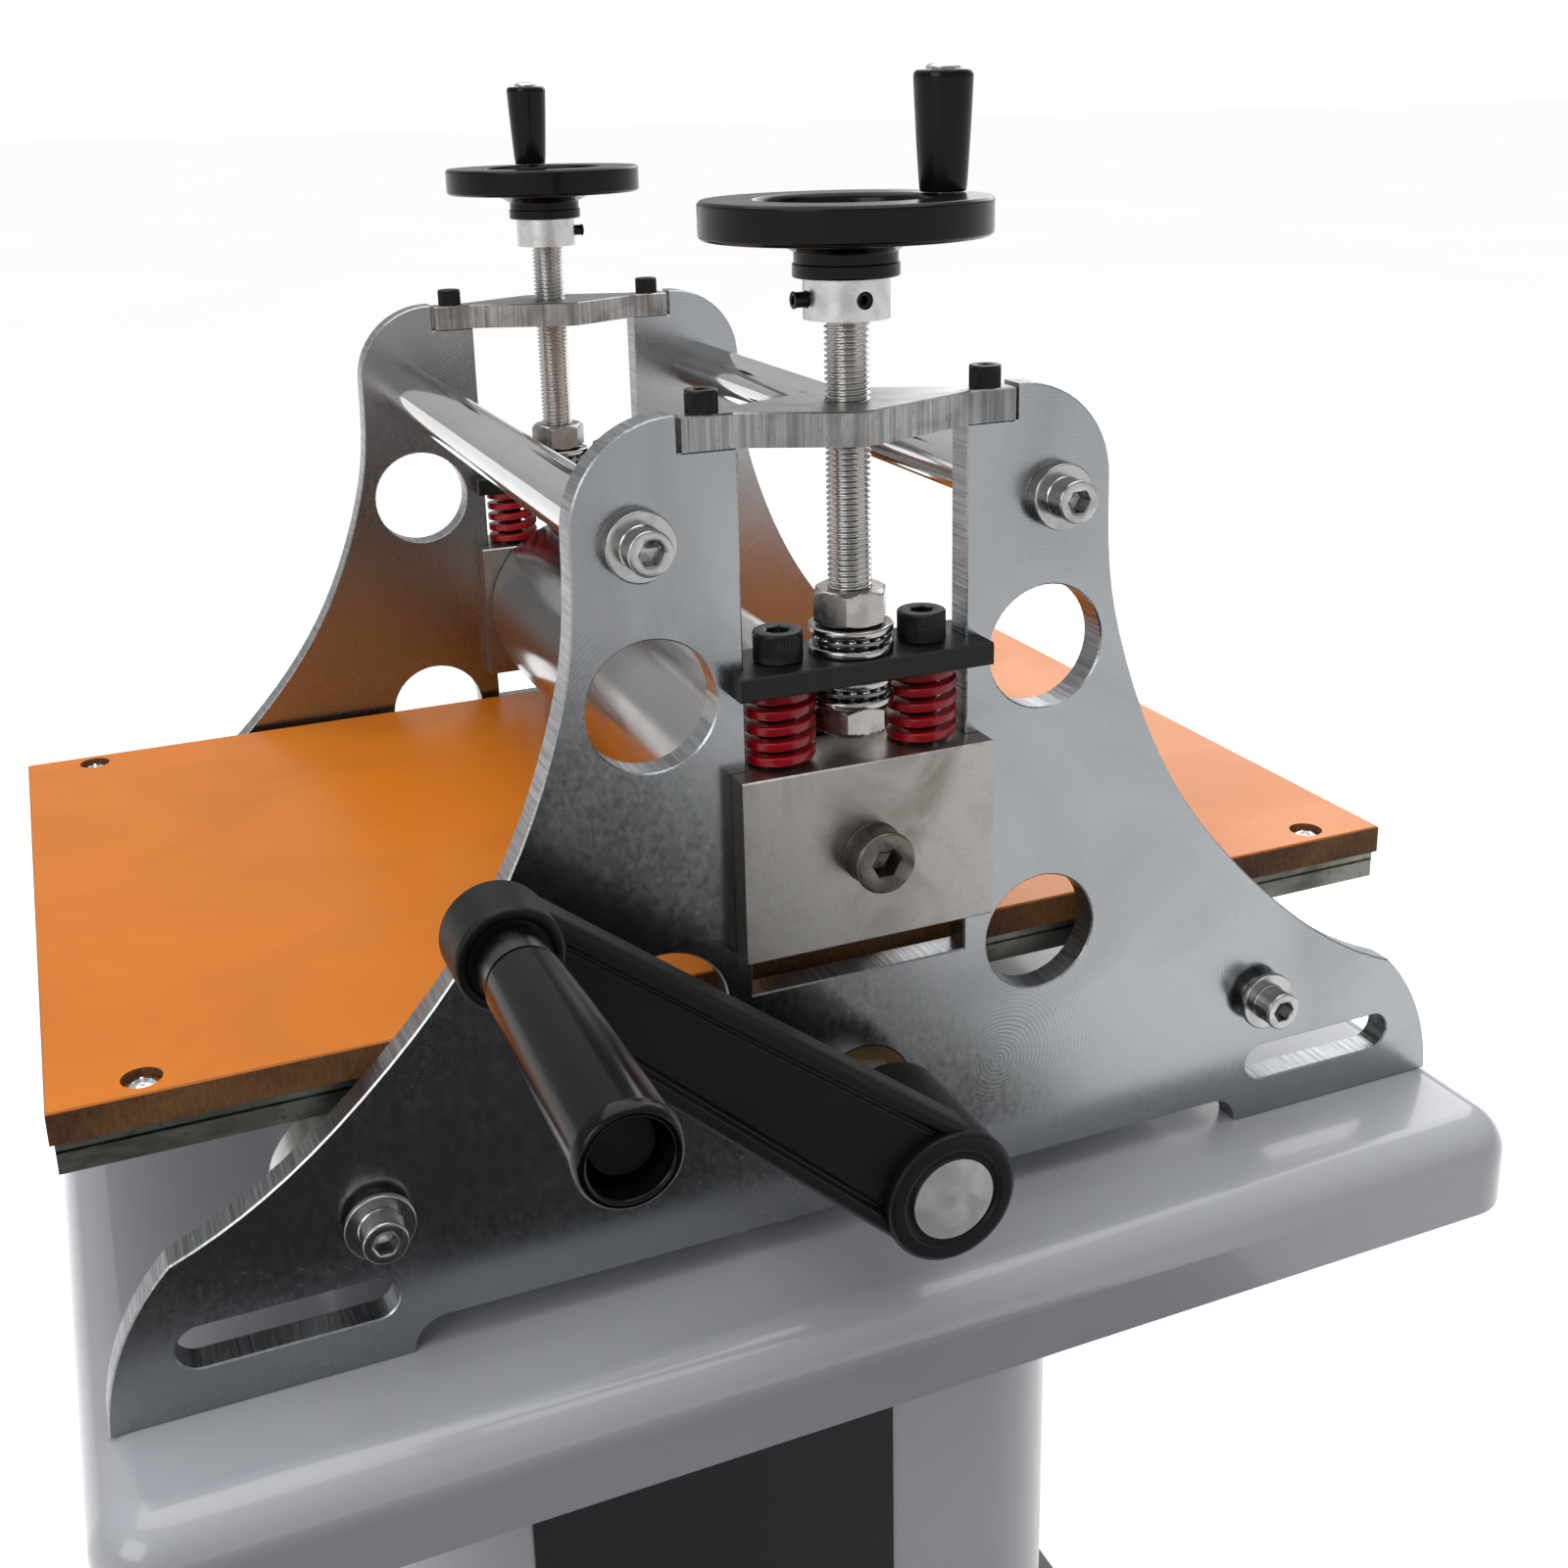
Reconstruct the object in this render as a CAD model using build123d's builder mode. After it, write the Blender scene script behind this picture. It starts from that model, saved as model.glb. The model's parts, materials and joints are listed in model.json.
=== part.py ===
"""Hand-cranked roller press on a pedestal stand, in millimetres.

Row frame: X is the way the bed travels, Y runs along the rollers (the crank side is -Y) and Z is up.
The origin is the centre of the foot plate's underside.  Heights in the press are counted from the
tray's top face, so each sketch plane for the press starts at STAND_HEIGHT.
"""
from build123d import *
import math
import os

# ---------------------------------------------------------------- clearances
GUIDE_GAP = 0.3        # between a sliding piece and what guides it
RUN_GAP = 0.06         # radial, a turning shaft in its bore
SEAT_GAP = 0.03        # radial, a fixed pin or bush in its bore
BOLT_GAP = 0.5         # radial, a bolt shank in a plain hole
FACE_GAP = 0.3         # between faces of bodies that move past each other
EDGE_BREAK = 0.6       # chamfer on cut plate edges

# ---------------------------------------------------------------- stand
STAND_HEIGHT = 440.0   # floor to the tray's top face
FOOT_LENGTH = 430.0
FOOT_WIDTH = 300.0
FOOT_THICK = 10.0
FOOT_CORNER_R = 40.0
FLOOR_HOLE_D = 13.0
FLOOR_HOLE_X = 370.0   # spacing of the floor bolts
FLOOR_HOLE_Y = 240.0
COLUMN_LENGTH = 360.0
COLUMN_WIDTH = 166.0
COLUMN_CORNER_R = 60.0
COLUMN_WALL = 3.0
PANEL_CENTRE = -26.0
PANEL_WIDTH = 184.0
PANEL_THICK = 1.5
PANEL_MARGIN = 14.0    # from the panel's ends to the column's ends
PANEL_CORNER_R = 6.0
HEAD_LENGTH = 300.0
HEAD_WIDTH = 130.0
HEAD_THICK = 8.0
HEAD_CORNER_R = 20.0
TRAY_LENGTH = 586.0
TRAY_SIDE = 66.0       # from a side plate's inner face to the tray's edge
TRAY_SKIRT = 40.0
TRAY_SHEET = 3.0
TRAY_EDGE_R = 18.0
TRAY_CORNER_R = 24.0
RAIL_WIDTH = 40.0
RAIL_THICK = 10.0
RAIL_END = 8.0         # from the last bolt to a rail's end
STAND_BOLT_D = 8.0
STAND_BOLT_HEAD = 5.5
STAND_BOLT_AF = 13.0
STAND_BOLT_GRIP = 14.0  # thread engaged in a side plate's foot
HEAD_BOLT_X = 240.0
HEAD_BOLT_Y = 84.0

# ---------------------------------------------------------------- side plates
PLATE_THICK = 12.0
PLATE_CLEAR = 366.0    # between the two side plates
PLATE_HEIGHT = 330.0
FOOT_HALF = 282.5
RECESS_HALF = 178.0
RECESS_HIGH = 12.0
SHOULDER_X = 104.0
SHOULDER_R = 38.0
HEEL_IN = 26.0         # the heel's top corner, in from the foot's end
HEEL_HIGH = 60.0
HEEL_BULGE = (8.0, 34.0)   # the heel arc's middle: in from the foot's end, and its height
FLANK_LOW = (97.5, 109.0)  # the flank's lowest point: in from the foot's end, and its height
FLANK_MID = (30.0, 173.0)  # out from the shoulder, and its height
FLANK_HIGH = (7.0, 230.0)
FLANK_START = (-0.92, 0.36)    # the way the flank leaves the heel
SLOT_HALF = 44.0       # half width of the window that guides the bearing block
SLOT_BOTTOM = 112.0
WINDOW_D = 48.0
WINDOW_X = 78.0
WINDOW_Z = (112.0, 230.0)
FOOT_SLOT_X = 220.0
FOOT_SLOT_Z = 26.0
FOOT_SLOT_LENGTH = 76.0
FOOT_SLOT_WIDTH = 16.5
FOOT_BOLT_X = (200.0, 262.0)

# ---------------------------------------------------------------- rods and idlers
ROD_D = 25.0
ROD_BOLT_D = 10.0
ROD_BOLT_DEPTH = 22.0
CAP_HEAD_D = 16.0
CAP_HEAD_HIGH = 10.0
CAP_SOCKET = 4.0       # from a rod bolt's middle to the flats of its hex socket
SOCKET_DEPTH = 0.5     # depth of every hex socket, as a share of its head's height
UPPER_ROD_X = 81.0
UPPER_ROD_Z = 288.0
UPPER_WASHER_THICK = 6.0
LOWER_ROD_X = 187.0
LOWER_WASHER_THICK = 2.5
LOWER_SPACER_D = 17.0
LOWER_SPACER_THICK = 4.0
IDLER_WIDTH = 17.0
IDLER_INSET = 4.0      # between an idler and its side plate
IDLER_RACE_R = 27.0
IDLER_RACE_SHORT = 2.0  # the race is this much narrower than its ring

# ---------------------------------------------------------------- bed
BED_UNDERSIDE = 92.0
BED_PLATE_THICK = 12.0
BOARD_THICK = 12.0
BOARD_LENGTH = 548.0
BOARD_GAP = 6.0        # between the board and each side plate
BOARD_CENTRE = -13.0
BED_INSET = 1.5        # the steel plate stops this far inside the board
BED_SCREW_D = 6.0
BED_SCREW_HEAD_D = 10.0
BED_SCREW_POCKET_D = 14.0
BED_SCREW_POCKET = 4.0
BED_SCREW_HEAD = 2.8
BED_SCREW_CROSS = (6.0, 1.2, 1.6)   # the cross recess: length, width and depth
BED_SCREW_SHORT = 1.0  # the screw's tip stops this far above the plate's underside
BED_SCREW_IN_X = 31.0  # from the board's ends
BED_SCREW_IN_Y = 11.0  # from the board's sides

# ---------------------------------------------------------------- drive
DRIVE_Z = 58.7
SHAFT_D = 31.0
BUSH_D = 42.0
BUSH_FLANGE_D = 56.0
BUSH_FLANGE = 4.0
SHAFT_OUT = 2.0        # how far the shaft stands out of the far plate
HUB_OUT = 75.0         # from the side plate's outer face to the hub's front
HUB_D = 50.0
HUB_LENGTH = 55.0
ARM_OUT = 57.0         # from the side plate's outer face to the arm's back
ARM_THICK = 15.0
ARM_REACH = 198.0
ARM_ANGLE = 139.7      # from +X, at rest
ARM_PANEL_DEPTH = 2.0
ARM_BORDER = 5.0
ARM_STEP = 0.8         # the arm's sides lie this far inside the hub and the boss
BOSS_D = 34.0
BOSS_STEP = 8.0        # the boss stands this far out of the arm's front
KEY_WIDTH = 8.0
KEY_HIGH = 7.0
KEY_LENGTH = 40.0
KEY_IN = 4.0           # from the hub's front to the key
GRIP_PIN_D = 12.0
GRIP_PIN_HEAD_D = 17.0
GRIP_PIN_HEAD = 6.0
FERRULE_D = 23.0
FERRULE_LENGTH = 14.0
GRIP_LENGTH = 99.0
GRIP_START_D = 24.0
GRIP_END_D = 29.0
GRIP_POCKET_D = 21.0
GRIP_POCKET = 14.0
GRIP_LIP = 2.5         # width of the rounded lip round the pocket
GRIP_LIP_LONG = 3.5    # length of the lip's rounding along the grip
GRIP_WAIST = 0.6       # how far the grip's middle lies inside its widest end

# ---------------------------------------------------------------- bearing blocks and upper roller
BLOCK_HALF = 50.0
BLOCK_DEPTH = 34.0
BLOCK_BELOW = 34.9     # from the roller's axis to the block's underside
BLOCK_ABOVE = 35.1     # from the roller's axis to the block's top
AXLE_D = 25.0
AXLE_STUB = 20.0       # how far the axle enters a block
AXLE_BOLT_D = 12.0
AXLE_BOLT_HEAD_D = 23.5
AXLE_BOLT_HEAD = 12.0
AXLE_BOLT_DEPTH = 24.0
AXLE_SOCKET = 5.0
ROLLER_R = 48.0
ROLLER_GAP = 1.4       # between the roller and the bed, at rest
ROLLER_WALL = 10.0
ROLLER_END_GAP = 2.0
ROLLER_CHAMFER = 1.0
ROLLER_BUSH_LENGTH = 30.0
ROLLER_BUSH_IN = 2.0   # from the roller's end to its bush

# ---------------------------------------------------------------- pressure bars, springs and carriage bolts
BAR_HALF = 49.5
SPRING_HIGH = 29.5     # between the block and the bar, at rest
BAR_THICK = 8.5
SPRING_X = 28.5
SPRING_OD = 26.0
SPRING_WIRE_WIDE = 4.6
SPRING_WIRE_HIGH = 3.6
SPRING_TURNS = 4.5
CARRIAGE_BOLT_D = 10.0
CARRIAGE_HEAD_D = 18.0
CARRIAGE_HEAD = 11.0
CARRIAGE_BOLT_DEPTH = 25.0
CARRIAGE_SOCKET = 4.0

# ---------------------------------------------------------------- pressure screws and handwheels
SCREW_D = 16.0
NUT_AF = 25.0
UPPER_NUT = 13.0
LOWER_NUT = 12.0
NUT_COVER = 2.0        # the screw's lower end stops this far inside the lower nut
SCREW_OVER = 2.0       # the screw's top stands this far over the handwheel's hub
THRUST_D = 31.0
THRUST_WASHER = 3.0
THRUST_CAGE = 4.4
THRUST_CAGE_D = 27.0
BRIDGE_HALF = 63.5
BRIDGE_THICK = 12.0
BRIDGE_NOTCH_HALF = 65.0
BRIDGE_NOTCH_DEEP = 13.0
BRIDGE_TAB = 18.5      # length of the tab that lies in the plate's notch
BRIDGE_NOSE = 25.0     # how far the middle stands out from the screw's centre line
BRIDGE_NOSE_X = 5.0    # the nose's offset along the plate, the same part turned at the rear
BRIDGE_NOSE_HALF = 3.0
BRIDGE_BOLT_X = 54.0
BRIDGE_BOLT_D = 6.0
BRIDGE_HEAD_D = 11.5
BRIDGE_HEAD = 8.0
BRIDGE_BOLT_DEPTH = 16.0
BRIDGE_SOCKET = 2.5
COLLAR_D = 30.0
COLLAR_HIGH = 14.0
COLLAR_BOTTOM = 357.0
SET_SCREW_D = 6.0
SET_SCREW_OUT = 5.0    # how far the side set screw stands out of the collar
SET_SCREW_SUNK = 1.0   # how far the other one is sunk in it
WHEEL_D = 100.0
WHEEL_HUB_D = 37.0
WHEEL_HUB_HIGH = 9.0
WHEEL_WEB_HIGH = 4.0
WHEEL_RIM_HIGH = 13.0
WHEEL_RIM_WIDE = 20.0
WHEEL_DISH = 8.0
WHEEL_EDGE = 2.0       # bevel of the rim's edges
WHEEL_GRIP_R = 38.0    # handwheel centre to grip centre
WHEEL_GRIP_ANGLE = {"front": 3.0, "rear": 84.0}   # from +X, at rest
WHEEL_GRIP_LENGTH = 40.0
WHEEL_GRIP_D = 16.5
WHEEL_GRIP_TOP_D = 20.5
WHEEL_GRIP_PIN_D = 8.0
WHEEL_PIN_FLOOR = 2.0  # rim left under the grip's pin
WHEEL_GRIP_EDGE = (1.0, 3.0, 2.0)   # bevel at the foot, and the top's bevel along and across
WHEEL_GRIP_CAP_D = 12.0
WHEEL_GRIP_CAP = 2.0

# ---------------------------------------------------------------- places worked out from the sizes
PLATE_IN = PLATE_CLEAR / 2
PLATE_MID = PLATE_IN + PLATE_THICK / 2
PLATE_OUT = PLATE_IN + PLATE_THICK
DRIVE_R = BED_UNDERSIDE - DRIVE_Z - FACE_GAP
BED_TOP = BED_UNDERSIDE + BED_PLATE_THICK + BOARD_THICK
BOARD_WIDTH = PLATE_CLEAR - 2 * BOARD_GAP
TRAY_WIDTH = PLATE_CLEAR + 2 * TRAY_SIDE
HUB_FRONT = PLATE_OUT + HUB_OUT
ARM_BACK = PLATE_OUT + ARM_OUT
ARM_FRONT = ARM_BACK + ARM_THICK
BOSS_FRONT = ARM_FRONT + BOSS_STEP
AXLE_Z = BED_TOP + ROLLER_GAP + ROLLER_R
BLOCK_BOTTOM = AXLE_Z - BLOCK_BELOW
BLOCK_TOP = AXLE_Z + BLOCK_ABOVE
BAR_UNDERSIDE = BLOCK_TOP + SPRING_HIGH
BLOCK_IN = PLATE_MID - BLOCK_DEPTH / 2
BLOCK_OUT = PLATE_MID + BLOCK_DEPTH / 2
GROOVE_BOTTOM = SLOT_HALF - GUIDE_GAP
GROOVE_WIDTH = PLATE_THICK + 2 * GUIDE_GAP
THRUST_STACK = 2 * THRUST_WASHER + THRUST_CAGE
BAR_TOP = BAR_UNDERSIDE + BAR_THICK
BRIDGE_BOTTOM = PLATE_HEIGHT - BRIDGE_NOTCH_DEEP
BRIDGE_TOP = BRIDGE_BOTTOM + BRIDGE_THICK
WHEEL_BOTTOM = COLLAR_BOTTOM + COLLAR_HIGH
WHEEL_TOP = WHEEL_BOTTOM + WHEEL_HUB_HIGH + WHEEL_WEB_HIGH + WHEEL_RIM_HIGH
BOSS_X = ARM_REACH * math.cos(math.radians(ARM_ANGLE))
BOSS_Z = DRIVE_Z + ARM_REACH * math.sin(math.radians(ARM_ANGLE))
TRAY_UNDER = -TRAY_SHEET
RAIL_UNDER = TRAY_UNDER - RAIL_THICK
HEAD_UNDER = TRAY_UNDER - HEAD_THICK
COLUMN_TOP = STAND_HEIGHT + HEAD_UNDER
SIDES = (("front", -1), ("rear", 1))
os.makedirs("parts", exist_ok=True)


def across(y):
    """Plane facing the crank side at distance y; its sketch axes are X and the height over the tray."""
    return Plane(origin=(0, y, STAND_HEIGHT), x_dir=(1, 0, 0), z_dir=(0, -1, 0))


def level(z):
    """Horizontal plane at a height over the tray."""
    return Plane.XY.offset(STAND_HEIGHT + z)


def turned(x, y):
    """Plane through a vertical axis at (x, y); its sketch axes are the radius and the height."""
    return Plane(origin=(x, y, STAND_HEIGHT), x_dir=(1, 0, 0), z_dir=(0, -1, 0))


def along(x, z):
    """Plane through an axis along Y at (x, z); its sketch axes are the radius and the place along Y."""
    return Plane(origin=(x, 0, STAND_HEIGHT + z), x_dir=(1, 0, 0), z_dir=(0, 0, 1))


def write(part, name):
    """Labels a finished piece and writes its STEP file."""
    part.label = name
    export_step(part, f"parts/{name}.step")


# ================================================================ stand
with BuildPart() as foot_plate:
    with BuildSketch():
        RectangleRounded(FOOT_LENGTH, FOOT_WIDTH, FOOT_CORNER_R)
        with GridLocations(FLOOR_HOLE_X, FLOOR_HOLE_Y, 2, 2):
            Circle(FLOOR_HOLE_D / 2, mode=Mode.SUBTRACT)
    extrude(amount=FOOT_THICK)
    chamfer(foot_plate.faces().sort_by(Axis.Z)[-1].outer_wire().edges(), EDGE_BREAK * 2)
write(foot_plate.part, "foot_plate")

with BuildPart() as column_shell:
    with BuildSketch(Plane.XY.offset(FOOT_THICK)):
        RectangleRounded(COLUMN_LENGTH, COLUMN_WIDTH, COLUMN_CORNER_R)
        RectangleRounded(
            COLUMN_LENGTH - 2 * COLUMN_WALL,
            COLUMN_WIDTH - 2 * COLUMN_WALL,
            COLUMN_CORNER_R - COLUMN_WALL,
            mode=Mode.SUBTRACT,
        )
    extrude(amount=COLUMN_TOP - FOOT_THICK)
write(column_shell.part, "column_shell")

PANEL_HIGH = COLUMN_TOP - FOOT_THICK - 2 * PANEL_MARGIN
PANEL_MID = (COLUMN_TOP + FOOT_THICK) / 2
with BuildPart() as column_panel:
    front_face = Plane(
        origin=(PANEL_CENTRE, -COLUMN_WIDTH / 2, PANEL_MID), x_dir=(1, 0, 0), z_dir=(0, -1, 0)
    )
    with BuildSketch(front_face):
        RectangleRounded(PANEL_WIDTH, PANEL_HIGH, PANEL_CORNER_R)
    extrude(amount=PANEL_THICK)
write(column_panel.part, "column_panel")

with BuildPart() as column_head:
    with BuildSketch(level(HEAD_UNDER)):
        RectangleRounded(HEAD_LENGTH, HEAD_WIDTH, HEAD_CORNER_R)
        with GridLocations(HEAD_BOLT_X, HEAD_BOLT_Y, 2, 2):
            Circle(STAND_BOLT_D / 2 + BOLT_GAP, mode=Mode.SUBTRACT)
    extrude(amount=HEAD_THICK)
write(column_head.part, "column_head")

with BuildPart() as tray:
    with BuildSketch(level(-TRAY_SKIRT)):
        RectangleRounded(TRAY_LENGTH, TRAY_WIDTH, TRAY_CORNER_R)
    extrude(amount=TRAY_SKIRT)
    fillet(tray.faces().sort_by(Axis.Z)[-1].edges(), TRAY_EDGE_R)
    with BuildPart(mode=Mode.PRIVATE) as hollow:
        with BuildSketch(level(-TRAY_SKIRT)):
            RectangleRounded(
                TRAY_LENGTH - 2 * TRAY_SHEET,
                TRAY_WIDTH - 2 * TRAY_SHEET,
                TRAY_CORNER_R - TRAY_SHEET,
            )
        extrude(amount=TRAY_SKIRT - TRAY_SHEET)
        fillet(hollow.faces().sort_by(Axis.Z)[-1].edges(), TRAY_EDGE_R - TRAY_SHEET)
    add(hollow.part, mode=Mode.SUBTRACT)
    with BuildSketch(level(0)):
        for _, side in SIDES:
            for x in FOOT_BOLT_X:
                with Locations((x, side * PLATE_MID), (-x, side * PLATE_MID)):
                    Circle(STAND_BOLT_D / 2 + BOLT_GAP)
        with GridLocations(HEAD_BOLT_X, HEAD_BOLT_Y, 2, 2):
            Circle(STAND_BOLT_D / 2 + BOLT_GAP)
    extrude(amount=-TRAY_SHEET, mode=Mode.SUBTRACT)
write(tray.part, "tray")

RAIL_LENGTH = 2 * (FOOT_BOLT_X[-1] + RAIL_END)
with BuildPart() as tray_rails:
    with BuildSketch(level(RAIL_UNDER)):
        for _, side in SIDES:
            with Locations((0, side * PLATE_MID)):
                Rectangle(RAIL_LENGTH, RAIL_WIDTH)
            for x in FOOT_BOLT_X:
                with Locations((x, side * PLATE_MID), (-x, side * PLATE_MID)):
                    Circle(STAND_BOLT_D / 2 + BOLT_GAP, mode=Mode.SUBTRACT)
    extrude(amount=RAIL_THICK)
write(tray_rails.part, "tray_rails")

with BuildPart() as stand_bolts:
    with BuildSketch(level(RAIL_UNDER)):
        for _, side in SIDES:
            for x in FOOT_BOLT_X:
                with Locations((x, side * PLATE_MID), (-x, side * PLATE_MID)):
                    RegularPolygon(STAND_BOLT_AF / 2, 6, major_radius=False)
    extrude(amount=-STAND_BOLT_HEAD)
    with BuildSketch(level(RAIL_UNDER)):
        for _, side in SIDES:
            for x in FOOT_BOLT_X:
                with Locations((x, side * PLATE_MID), (-x, side * PLATE_MID)):
                    Circle(STAND_BOLT_D / 2)
    extrude(amount=STAND_BOLT_GRIP - RAIL_UNDER)
    with BuildSketch(level(0)):
        with GridLocations(HEAD_BOLT_X, HEAD_BOLT_Y, 2, 2):
            RegularPolygon(STAND_BOLT_AF / 2, 6, major_radius=False)
    extrude(amount=STAND_BOLT_HEAD)
    with BuildSketch(level(HEAD_UNDER)):
        with GridLocations(HEAD_BOLT_X, HEAD_BOLT_Y, 2, 2):
            Circle(STAND_BOLT_D / 2)
    extrude(amount=-HEAD_UNDER)
write(stand_bolts.part, "stand_bolts")

# ================================================================ side plates
for name, side in SIDES:
    with BuildPart() as side_plate:
        with BuildSketch(across(side * PLATE_MID + PLATE_THICK / 2)):
            with BuildLine():
                Line((0, RECESS_HIGH), (RECESS_HALF - RECESS_HIGH, RECESS_HIGH))
                CenterArc((RECESS_HALF - RECESS_HIGH, 0), RECESS_HIGH, 0, 90)
                Line((RECESS_HALF, 0), (FOOT_HALF, 0))
                heel = (FOOT_HALF - HEEL_IN, HEEL_HIGH)
                ThreePointArc((FOOT_HALF, 0), (FOOT_HALF - HEEL_BULGE[0], HEEL_BULGE[1]), heel)
                shoulder_end = (SHOULDER_X, PLATE_HEIGHT - SHOULDER_R)
                Spline(
                    heel,
                    (FOOT_HALF - FLANK_LOW[0], FLANK_LOW[1]),
                    (SHOULDER_X + FLANK_MID[0], FLANK_MID[1]),
                    (SHOULDER_X + FLANK_HIGH[0], FLANK_HIGH[1]),
                    shoulder_end,
                    tangents=(FLANK_START, (0, 1)),
                )
                CenterArc((SHOULDER_X - SHOULDER_R, PLATE_HEIGHT - SHOULDER_R), SHOULDER_R, 0, 90)
                Line((SHOULDER_X - SHOULDER_R, PLATE_HEIGHT), (0, PLATE_HEIGHT))
                mirror(about=Plane.YZ)
            make_face()
            for z in WINDOW_Z:
                with Locations((WINDOW_X, z), (-WINDOW_X, z)):
                    Circle(WINDOW_D / 2, mode=Mode.SUBTRACT)
            with Locations((UPPER_ROD_X, UPPER_ROD_Z), (-UPPER_ROD_X, UPPER_ROD_Z)):
                Circle(ROD_BOLT_D / 2 + BOLT_GAP, mode=Mode.SUBTRACT)
            with Locations((LOWER_ROD_X, DRIVE_Z), (-LOWER_ROD_X, DRIVE_Z)):
                Circle(ROD_BOLT_D / 2 + BOLT_GAP, mode=Mode.SUBTRACT)
            with Locations((FOOT_SLOT_X, FOOT_SLOT_Z), (-FOOT_SLOT_X, FOOT_SLOT_Z)):
                SlotOverall(FOOT_SLOT_LENGTH, FOOT_SLOT_WIDTH, mode=Mode.SUBTRACT)
            with Locations((0, DRIVE_Z)):
                Circle(BUSH_D / 2 + SEAT_GAP, mode=Mode.SUBTRACT)
            with Locations((0, SLOT_BOTTOM)):
                Rectangle(
                    2 * SLOT_HALF,
                    PLATE_HEIGHT,
                    align=(Align.CENTER, Align.MIN),
                    mode=Mode.SUBTRACT,
                )
            with Locations((0, PLATE_HEIGHT)):
                Rectangle(
                    2 * BRIDGE_NOTCH_HALF,
                    2 * BRIDGE_NOTCH_DEEP,
                    mode=Mode.SUBTRACT,
                )
        extrude(amount=PLATE_THICK)
        chamfer(side_plate.edges().group_by(Axis.Y)[0], EDGE_BREAK)
        chamfer(side_plate.edges().group_by(Axis.Y)[-1], EDGE_BREAK)
        with BuildSketch(level(0)):
            for x in FOOT_BOLT_X:
                with Locations((x, side * PLATE_MID), (-x, side * PLATE_MID)):
                    Circle(STAND_BOLT_D / 2 + SEAT_GAP)
        extrude(amount=STAND_BOLT_GRIP, mode=Mode.SUBTRACT)
        with BuildSketch(level(BRIDGE_BOTTOM)):
            with Locations((BRIDGE_BOLT_X, side * PLATE_MID), (-BRIDGE_BOLT_X, side * PLATE_MID)):
                Circle(BRIDGE_BOLT_D / 2 + SEAT_GAP)
        extrude(amount=-BRIDGE_BOLT_DEPTH, mode=Mode.SUBTRACT)
    write(side_plate.part, f"side_plate_{name}")

# ================================================================ tie rods, idlers and their bolts
for rod, x, z in (
    ("upper_rod_left", -UPPER_ROD_X, UPPER_ROD_Z),
    ("upper_rod_right", UPPER_ROD_X, UPPER_ROD_Z),
    ("lower_rod_left", -LOWER_ROD_X, DRIVE_Z),
    ("lower_rod_right", LOWER_ROD_X, DRIVE_Z),
):
    with BuildPart() as tie_rod:
        with BuildSketch(across(PLATE_IN)):
            with Locations((x, z)):
                Circle(ROD_D / 2)
        extrude(amount=PLATE_CLEAR)
        with BuildSketch(across(PLATE_IN)):
            with Locations((x, z)):
                Circle(ROD_BOLT_D / 2 + SEAT_GAP)
        extrude(amount=ROD_BOLT_DEPTH, mode=Mode.SUBTRACT)
        with BuildSketch(across(-PLATE_IN)):
            with Locations((x, z)):
                Circle(ROD_BOLT_D / 2 + SEAT_GAP)
        extrude(amount=-ROD_BOLT_DEPTH, mode=Mode.SUBTRACT)
    write(tie_rod.part, rod)


def washers(places, parts):
    """Stacked washers outside both side plates: parts are (diameter, thickness) from the plate outwards."""
    with BuildPart() as stack:
        for _, side in SIDES:
            start = PLATE_OUT
            for diameter, thick in parts:
                with BuildSketch(across(side * start)):
                    with Locations(*places):
                        Circle(diameter / 2)
                        Circle(ROD_BOLT_D / 2 + BOLT_GAP, mode=Mode.SUBTRACT)
                extrude(amount=-side * thick)
                start += thick
    return stack.part


def cap_bolts(places, stack):
    """Socket cap bolts through both side plates into the rods; stack is the washers' thickness."""
    with BuildPart() as bolts:
        for _, side in SIDES:
            under_head = PLATE_OUT + stack
            with BuildSketch(across(side * under_head)):
                with Locations(*places):
                    Circle(CAP_HEAD_D / 2)
            extrude(amount=-side * CAP_HEAD_HIGH)
            with BuildSketch(across(side * under_head)):
                with Locations(*places):
                    Circle(ROD_BOLT_D / 2)
            extrude(amount=side * (stack + PLATE_THICK + ROD_BOLT_DEPTH))
            with BuildSketch(across(side * (under_head + CAP_HEAD_HIGH))):
                with Locations(*places):
                    RegularPolygon(CAP_SOCKET, 6, major_radius=False)
            extrude(amount=side * CAP_HEAD_HIGH * SOCKET_DEPTH, mode=Mode.SUBTRACT)
    return bolts.part


UPPER_PLACES = ((UPPER_ROD_X, UPPER_ROD_Z), (-UPPER_ROD_X, UPPER_ROD_Z))
LOWER_PLACES = ((LOWER_ROD_X, DRIVE_Z), (-LOWER_ROD_X, DRIVE_Z))
write(washers(UPPER_PLACES, ((ROD_D, UPPER_WASHER_THICK),)), "upper_rod_washers")
write(cap_bolts(UPPER_PLACES, UPPER_WASHER_THICK), "upper_rod_bolts")
LOWER_STACK = LOWER_SPACER_THICK + LOWER_WASHER_THICK
write(
    washers(LOWER_PLACES, ((LOWER_SPACER_D, LOWER_SPACER_THICK), (ROD_D, LOWER_WASHER_THICK))),
    "lower_rod_washers",
)
write(cap_bolts(LOWER_PLACES, LOWER_STACK), "lower_rod_bolts")

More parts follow.
